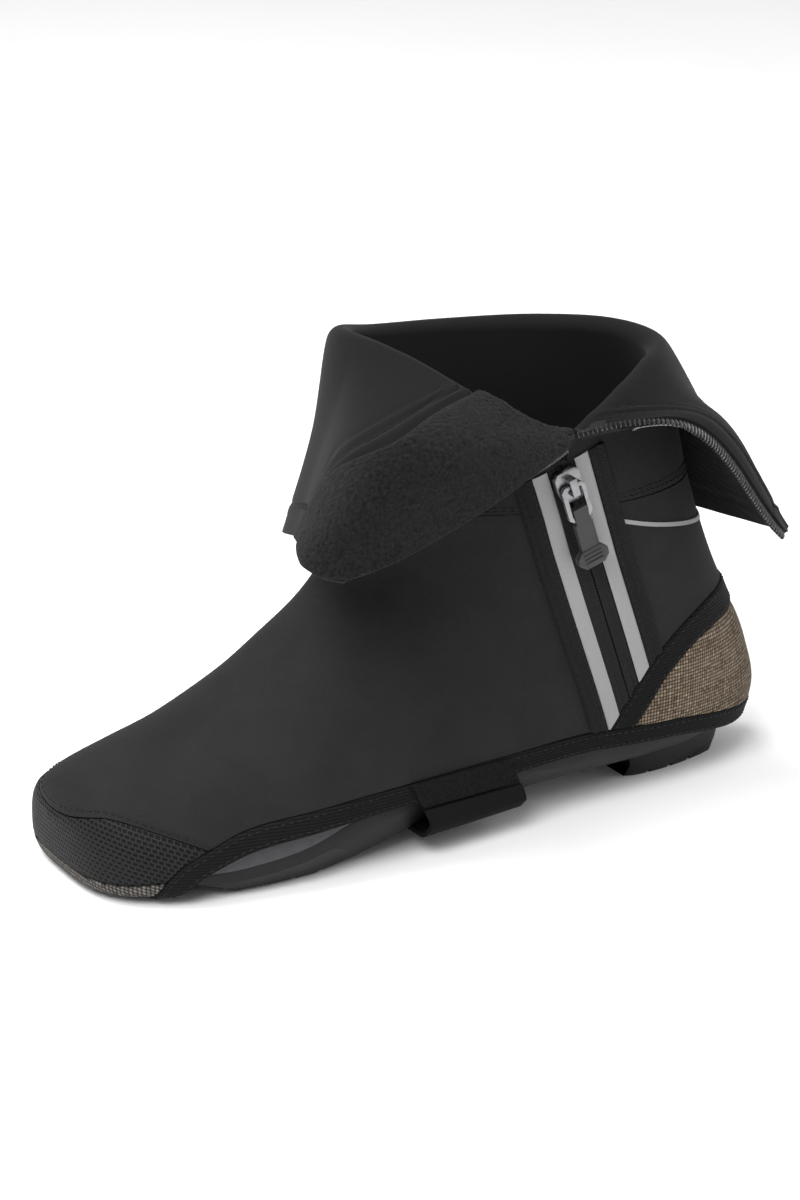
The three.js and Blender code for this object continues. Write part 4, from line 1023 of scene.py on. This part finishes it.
# %% Strips along the zip
ZIP_TOP = ZIP_LENGTH - 3
ZIP_FOOT = -26.0  # below the panels' lower edge, where the strips are cut off
INSIDE_ANKLE = (60, 0, 60)


def zip_point(across, along, lift_mm):
    p = ZIP_LOW + ZIP_BACK * np.asarray(across)[..., None] + ZIP_UP * np.asarray(along)[..., None]
    return on_form(p[..., 0], p[..., 1], lift_mm)


def zip_strip(name, inner, outer, profile, material, node, low_lift=0.0, columns=14):
    """A strip between two distances from the zip's line. profile(share across) is its height over the form."""

    def shape(u, v):
        across = inner + (outer - inner) * u
        return zip_point(across, ZIP_FOOT + (ZIP_TOP - ZIP_FOOT) * v, profile(u))[0]

    bm = wrapped_grid(columns, 150, shape)
    trim(bm, above_binding, above_counter)
    face_outwards(bm, INSIDE_ANKLE)
    uv = lambda p: np.stack([from_zip(p), (p[:, ::2] - ZIP_LOW) @ ZIP_UP], -1) * MM
    middle_height = float(profile(np.array([0.5]))[0])
    finish_piece(name, bm, [material], [node], wall=middle_height - low_lift, uv=uv)


for side, where in ((-1, "front"), (1, "rear")):
    half = CHAIN_HALF_WIDTH - CLEARANCE
    zip_strip(
        f"zip_half_{where}_woven",
        side * SLIT_WIDTH / 2,
        side * half,
        lambda u: 0.15 + 0.55 * bump_at(u, 0, 0.3) - 0.25 * bump_at(u, 0.55, 0.12),
        chain_tape,
        f"zip_half_{where}",
        low_lift=-2.2,
    )
    zip_strip(
        f"stripe_{where}_film",
        side * CHAIN_HALF_WIDTH,
        side * (CHAIN_HALF_WIDTH + STRIPE_WIDTH),
        lambda u: 0.45 + 0.25 * np.sqrt(np.clip(1 - (2 * u - 1) ** 4, 0, 1)),
        film,
        f"stripe_{where}",
        low_lift=0.3,
    )
    zip_strip(
        f"tape_{where}_grosgrain",
        side * (CHAIN_HALF_WIDTH + STRIPE_WIDTH + CLEARANCE),
        side * TAPE_HALF_WIDTH,
        lambda u: 0.9 + 0.9 * bump_at(u, 0.82, 0.13) - 0.35 * bump_at(u, 0.5, 0.08) - 0.4 * u**12,
        grosgrain,
        f"tape_{where}",
        low_lift=0.3,
        columns=24,
    )

# %% [markdown]
# Above the slider the zip is open. Each lapel's edge carries its row of coil: one bent loop of plastic after
# another. Under the rear lapel the reflective stripe runs on along the edge, and a little of it shows beside
# the coil.

# %% Coil on the open edges
COIL_PITCH = 1.6
COIL_GAP = 0.5
REAR_COIL_REACH = 4.6
FRONT_COIL_REACH = 3.4  # it stays hidden under the fleece


def edge_frame(turn, inward, first_q, last_q, spacing):
    """Points, directions away from the cloth, and normals along an edge of the collar."""
    q = np.linspace(first_q, last_q, 400)
    line = collar_surface(turn, q)
    run = run_along(line)
    at = np.interp(np.arange(0, run[-1], spacing), run, q)
    point, normal = collar_surface(turn, at), collar_normal(turn, at)
    along = unit(collar_surface(turn, at + 0.01) - collar_surface(turn, at - 0.01))
    away = unit(np.cross(along, normal))
    outward = np.sign((away * (point - collar_surface(turn + inward, at))).sum(-1, keepdims=True))
    return point, away * outward, normal


def coil_row(name, turn, inward, first_q, last_q, reach, node):
    point, away, normal = edge_frame(turn, inward, first_q, last_q, COIL_PITCH)
    bm = bmesh.new()
    for k in range(len(point)):
        a, n = Vector(away[k]), Vector(normal[k])
        turned = Matrix((a.cross(n), a, n)).transposed().to_4x4()
        centre = Vector(point[k]) + a * (COIL_GAP + reach / 2)
        shape = Matrix.Translation(centre) @ turned @ Matrix.Diagonal((0.26 * COIL_PITCH, reach / 2, 1.15, 1))
        bmesh.ops.create_uvsphere(bm, u_segments=8, v_segments=5, radius=1, matrix=shape)
    finish_piece(name, bm, [coil_plastic], [node], sharp=60)


coil_row("coil_front_teeth", FIRST_TURN, 4.0, 2.1, 2.86, FRONT_COIL_REACH, "coil_front")
coil_row("coil_rear_teeth", LAST_TURN, -4.0, 1.5, 2.99, REAR_COIL_REACH, "coil_rear")

LAPEL_STRIPE_OUT, LAPEL_STRIPE_IN = 2.4, 5.5  # how far it reaches on each side of the cloth's edge
edge, away, normal = edge_frame(LAST_TURN, -4.0, 2.3, 2.96, 1.0)


def under_lapel(u, v):
    row = v * (len(edge) - 1)
    at = lambda values: along_line(row, np.arange(len(values)), values)
    reach = LAPEL_STRIPE_OUT * np.clip(v / 0.3, 0, 1) * (1 - u) - LAPEL_STRIPE_IN * u
    return at(edge) + at(away) * reach[:, None] - unit(at(normal)) * (WALL / 2 + 0.45)


lapel_stripe = wrapped_grid(12, 120, under_lapel)
face_like(lapel_stripe, edge[60], -normal[60])
finish_piece("lapel_stripe_film", lapel_stripe, [film], wall=0.3)

# %% [markdown]
# ## Stitching
# Seams on sports covers are lockstitched with bonded thread, about 3 mm a stitch. A stitch is a small bead that
# is longer than it is wide, half sunk in the cloth. Rows follow the same seam lines as the cuts do: one cut on a
# spare grid leaves its points on the line, and they are joined in order.

# %% Rows of stitches
STITCH_PITCH = 3.0
STITCH_LENGTH = 2.2
STITCH_RADIUS = 0.28


def traced(bm, field):
    """The lines where field is 0 on a grid, as lists of points and normals, in the same order on each run."""
    bm.normal_update()
    left, lines = dict.fromkeys(cut(bm, field)), []
    bm.normal_update()
    while left:
        start = next(iter(left))
        del left[start]
        chain = [start]
        for end in (0, -1):
            while True:
                tip = chain[end]
                ahead = next((e.other_vert(tip) for e in tip.link_edges if e.other_vert(tip) in left), None)
                if ahead is None:
                    break
                del left[ahead]
                chain.insert(0, ahead) if end == 0 else chain.append(ahead)
        if len(chain) > 4:
            lines.append((np.array([v.co for v in chain]), np.array([v.normal for v in chain])))
    return lines


def sew(bm, points, normals, lift_mm, where=None):
    """Adds stitches to bm along a line, all of them or those where where(points) is true."""
    run = run_along(points)
    stops = np.arange(STITCH_PITCH / 2, run[-1] - STITCH_PITCH / 2, STITCH_PITCH)
    at = lambda values, s: along_line(s, run, values)
    middle, normal = at(points, stops), unit(at(normals, stops))
    way = at(points, stops + 0.5) - at(points, stops - 0.5)
    if where is not None:
        chosen = where(middle)
        middle, normal, way = middle[chosen], normal[chosen], way[chosen]
    for p, n, w in zip(middle, normal, unit(way)):
        w = Vector(w)
        side = Vector(n).cross(w).normalized()
        n = w.cross(side).normalized()
        turned = Matrix((w, side, n)).transposed().to_4x4()
        size = Matrix.Diagonal((STITCH_LENGTH / 2, STITCH_RADIUS, STITCH_RADIUS, 1))
        shape = Matrix.Translation(Vector(p) + n * lift_mm) @ turned @ size
        bmesh.ops.create_icosphere(bm, subdivisions=1, radius=1, matrix=shape)


stitches = bmesh.new()
spare = form_grid(0.6, 17.9, 230, 180)
off_zip = lambda p: np.abs(from_zip(p)) > TAPE_HALF_WIDTH + 1
above_edge = lambda p: lower_edge(p) > EDGE_BAND
for inset, height in ((1.5, BINDING_PROUD), (EDGE_BAND - 1.5, BINDING_PROUD)):
    for points, normals in traced(spare.copy(), lambda p: lower_edge(p) - inset):
        sew(stitches, points, normals, height)
for inset in (1.6, COUNTER_BAND - 1.6):
    for points, normals in traced(spare.copy(), lambda p: counter_line(p) + inset):
        sew(stitches, points, normals, BINDING_PROUD, where=above_edge)
for points, normals in traced(spare.copy(), lambda p: toe_seam(p) - 1.6):
    sew(stitches, points, normals, 0.0, where=above_edge)
spare.free()
for across in (-TAPE_HALF_WIDTH + 0.9, TAPE_HALF_WIDTH - 0.9, -12.6, 12.6):
    along = np.linspace(-20, ZIP_TOP, 300)
    point, normal = zip_point(np.full_like(along, across), along, 0.9 * np.ones_like(along))
    sew(stitches, point, normal, 0.05, where=lambda p: (lower_edge(p) > EDGE_BAND) & (counter_line(p) > 0))
finish_piece("seam_stitches", stitches, [thread], sharp=60)

collar_stitches = bmesh.new()
turns = np.linspace(FIRST_TURN + 1, LAST_TURN - 1, 700)
hang_length = hem_distance(turns, np.full_like(turns, 2.0))
for inset in (HEM_TURN_IN + 1.2, HEM_TURN_IN + 2.6):
    q = 3 - inset / hang_length
    sew(collar_stitches, collar_surface(turns, q), collar_normal(turns, q), WALL / 2 + 0.1)
for line in (FRONT_WELT[2], REAR_SEAM[0], REAR_SEAM[2]):
    q = np.linspace(2.0, 2.95, 300)
    turn = np.interp(q, LAPEL_ROWS, line)
    sew(collar_stitches, collar_surface(turn, q), collar_normal(turn, q), WALL / 2 - 0.1)
for row in (0.04, 0.09):
    outside = np.linspace(FIRST_TURN, LAST_TURN, 700)
    q = np.full_like(outside, row)
    point, normal = collar_surface(outside, q), -collar_normal(outside, q)
    sew(collar_stitches, point, normal, WALL / 2 + 0.1, where=off_zip)
finish_piece("collar_stitches", collar_stitches, [thread], sharp=60)

# %% [markdown]
# ## Reflective line
# A thin strip of the same film runs round the heel, just under the ankle seam, from the rear tape.

# %% Reflective line
REFLECTIVE_POINTS = [[0.201, 0.926], [0.268, 0.872], [0.329, 0.831], [0.383, 0.798], [0.453, 0.760]]
REFLECTIVE_HALF_WIDTH = 0.75
HEEL_CENTRE = 3.5  # y of the heel's back, where the line ends
reflective = beside(side_line(REFLECTIVE_POINTS))
line = form_grid(12.5, 18, 160, 190)
trim(
    line,
    lambda p: reflective(p) + REFLECTIVE_HALF_WIDTH,
    lambda p: REFLECTIVE_HALF_WIDTH - reflective(p),
    lambda p: np.where(p[:, 1] < HEEL_CENTRE, from_zip(p) - TAPE_HALF_WIDTH - CLEARANCE, -1),
)
lift(line, 0.4)
finish_piece("reflective_line_film", line, [film], ["reflective_line"], wall=0.3)

# %% [markdown]
# ## Sole unit
# Inside the cover's open underside sits a stiff sole. The grey wall above its black flank is an offset of the form.
# The outsole, the heel pad and the footbed keep their imported shape: a merged copy gets rounded edges that catch
# the light.

# %% Rand and insole
SOLE_EDGE_POINTS = [
    [-0.507, 0.099], [-0.440, 0.099], [-0.428, 0.095], [-0.406, 0.091], [-0.372, 0.087], [-0.332, 0.087],
    [-0.279, 0.095], [-0.211, 0.124], [-0.154, 0.169], [-0.087, 0.207], [0.013, 0.227], [0.121, 0.223],
    [0.235, 0.211], [0.329, 0.198], [0.389, 0.190], [0.433, 0.182], [0.460, 0.178], [0.560, 0.178],
]
sole_edge = beside(side_line(SOLE_EDGE_POINTS, 200))
rand = form_grid(0, 14.5, 190, 170, closed_toe=True)
trim(rand, lambda p: sole_edge(p) - CLEARANCE, lambda p: RAND_RISE - sole_edge(p))
lift(rand, lambda p: 0.3 * bump_at(sole_edge(p), RAND_RISE - 1.5, 0.8) - (WALL + CLEARANCE) - 0.1)
finish_piece("rand_wall", rand, [rand_skin], ["rand"], wall=RAND_WALL - 0.1)


def rounded_copy(node, name, material, width, angle, segments=2, body="root"):
    """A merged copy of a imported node. Its edges sharper than angle get a round of width mm."""
    bm = bmesh.new()
    bm.from_mesh(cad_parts[node].data)
    bmesh.ops.remove_doubles(bm, verts=bm.verts, dist=2e-6)
    bmesh.ops.dissolve_limit(bm, angle_limit=math.radians(1.0), verts=bm.verts, edges=bm.edges)
    edges = [e for e in bm.edges if len(e.link_faces) == 2 and e.calc_face_angle(0) > math.radians(angle)]
    bmesh.ops.bevel(
        bm, geom=edges, offset=width * MM, offset_type="OFFSET", affect="EDGES", segments=segments, profile=0.5,
        material=-1, clamp_overlap=True,
    )
    bmesh.ops.triangulate(bm, faces=[f for f in bm.faces if len(f.verts) > 4])
    finish_piece(name, bm, [material], [node], body=body, sharp=angle + 4, in_mm=False)


rounded_copy("outsole", "outsole_moulded", sole_rubber, 0.5, 35)
rounded_copy("heel_pad", "heel_pad_moulded", sole_rubber, 0.5, 30)
rounded_copy("insole", "insole_felt", footbed, 0.4, 40)

# %% [markdown]
# ## Arch strap
# A strap under the arch keeps the cover down. It is sewn in on the inner side, passes under the sole's waist and
# sticks to a hook-and-loop patch on the outer side.

# %% Strap and patch
STRAP_THICKNESS = 1.5
STRAP_FRONT = -0.040 * COVER_LENGTH
STRAP_WIDTH = 42
STRAP_TOP = 0.256 * SEAM_HEIGHT
STRAP_CORNER = 0.066 * SEAM_HEIGHT
PATCH_LOW = 0.174 * SEAM_HEIGHT
STRAP_RISE = 0.02
STRAP_SLANT = 0.48
SOLE_UNDER = 0.077 * SEAM_HEIGHT  # under the sole where the strap's front edge passes


def smooth_path(rows, share):
    """Points on the smooth curve through rows of points, one row for each share."""
    at = share * (len(rows) - 1)
    row = np.clip(np.floor(at).astype(int), 0, len(rows) - 2)
    column = np.arange(len(share))
    near = (rows[np.clip(row + k, 0, len(rows) - 1), column] for k in (-1, 0, 1, 2))
    return through(*near, (at - row)[:, None])


def strap_shape(u, v):
    along = STRAP_FRONT + STRAP_WIDTH * u
    under = SOLE_UNDER + STRAP_RISE * (along - STRAP_FRONT) - 2 * CLEARANCE - STRAP_THICKNESS / 2
    over = BINDING_PROUD + CLEARANCE + STRAP_THICKNESS / 2

    def leg(side, z):
        leaning = along - STRAP_SLANT * (z - STRAP_CORNER)
        return on_form(leaning, np.full_like(along, z), np.full_like(along, over), side)[0]

    low = STRAP_CORNER + 7
    near = [leg(-1, PATCH_LOW - 0.5), leg(-1, low)]
    far = [leg(1, z) for z in (low, PATCH_LOW, (PATCH_LOW + STRAP_TOP) / 2, STRAP_TOP)]
    turn = lambda start, share, rise: np.stack([start[:, 0], start[:, 1] * share, under + rise], -1)
    corners = ((0.97, 3.5), (0.88, 0.4), (0.72, 0), (0.3, 0))
    rows = near + [turn(near[1], *c) for c in corners] + [turn(far[0], *c) for c in corners[::-1]] + far
    return smooth_path(np.array(rows), v)


def strap_uv(p):
    """UV in metres: along the shoe, and round it. Past 38 mm from the middle the strap stands up."""
    return np.stack([p[:, 0], np.where(np.abs(p[:, 1]) > 38, p[:, 2], p[:, 1])], -1) * MM


strap = wrapped_grid(30, 160, strap_shape)
face_like(strap, (0.0, 0.0, SOLE_UNDER), (0, 0, -1))
lift(strap, STRAP_THICKNESS / 2)
strap_piece = finish_piece(
    "arch_strap_webbing", strap, [elastic], ["arch_strap"], wall=STRAP_THICKNESS, uv=strap_uv
)


def patch_shape(u, v):
    z = PATCH_LOW + (STRAP_TOP - PATCH_LOW) * v
    border = np.minimum(np.minimum(u, 1 - u) / 0.05, np.minimum(v, 1 - v) / 0.14).clip(0, 1)
    height = BINDING_PROUD + CLEARANCE + 1.1 * (0.45 + 0.55 * np.sqrt(1 - (1 - border) ** 2))
    return on_form(STRAP_FRONT + STRAP_WIDTH * u - STRAP_SLANT * (z - STRAP_CORNER), z, height)[0]


patch = wrapped_grid(60, 24, patch_shape)
face_outwards(patch, (0, 0, 25))
finish_piece("strap_patch_hooks", patch, [hook_tape], ["strap_patch"], wall=0.45, uv=wrap_foot)

# %% [markdown]
# ## Slider and pull
# The slider is die-cast, nickel-plated and tumbled, so its edges are round. The pull's wire frame and its rubber
# grip turn together on the slider's bridge; they are the one thing that moves.

# %% Slider, link and grip
rounded_copy("slider", "slider_plated", nickel, 0.35, 20, segments=3)
rounded_copy("pull_link", "pull_link_plated", nickel, 0.4, 20, segments=3, body="pull")
rounded_copy("pull_grip", "pull_grip_moulded", grip_rubber, 0.25, 20, body="pull")

# %% [markdown]
# ## Floor and light
# A plain pale floor and large soft lamps keep the shadow soft. There is a lamp in front on the left, one above, a
# fill on the right and a pale sky.

# %% Floor, lamps and sky
floor_bm = bmesh.new()
bmesh.ops.create_grid(floor_bm, x_segments=1, y_segments=1, size=4)
floor_mesh = bpy.data.meshes.new("floor")
floor_bm.to_mesh(floor_mesh)
floor_bm.free()
floor = bpy.data.objects.new("floor", floor_mesh)
bpy.context.scene.collection.objects.link(floor)
floor_mesh.materials.append(matt_paper)


def lamp(name, place, size, watts):
    light = bpy.data.lights.new(name, "AREA")
    light.energy, light.size = watts, size
    thing = bpy.data.objects.new(name, light)
    bpy.context.scene.collection.objects.link(thing)
    thing.location = place
    thing.rotation_euler = (Vector((0, 0, 0.08)) - thing.location).to_track_quat("-Z", "Y").to_euler()


lamp("key", (-1.1, -0.9, 1.5), 1.0, 34)
lamp("fill", (1.5, -0.9, 1.0), 1.2, 7)
lamp("top", (-0.6, 0.35, 1.85), 1.2, 30)
world = bpy.data.worlds.new("pale_sky")
world.use_nodes = True
world.node_tree.nodes["Background"].inputs["Color"].default_value = colour("#ffffff")
world.node_tree.nodes["Background"].inputs["Strength"].default_value = 0.5
bpy.context.scene.world = world
bpy.context.scene.view_settings.view_transform = "Standard"
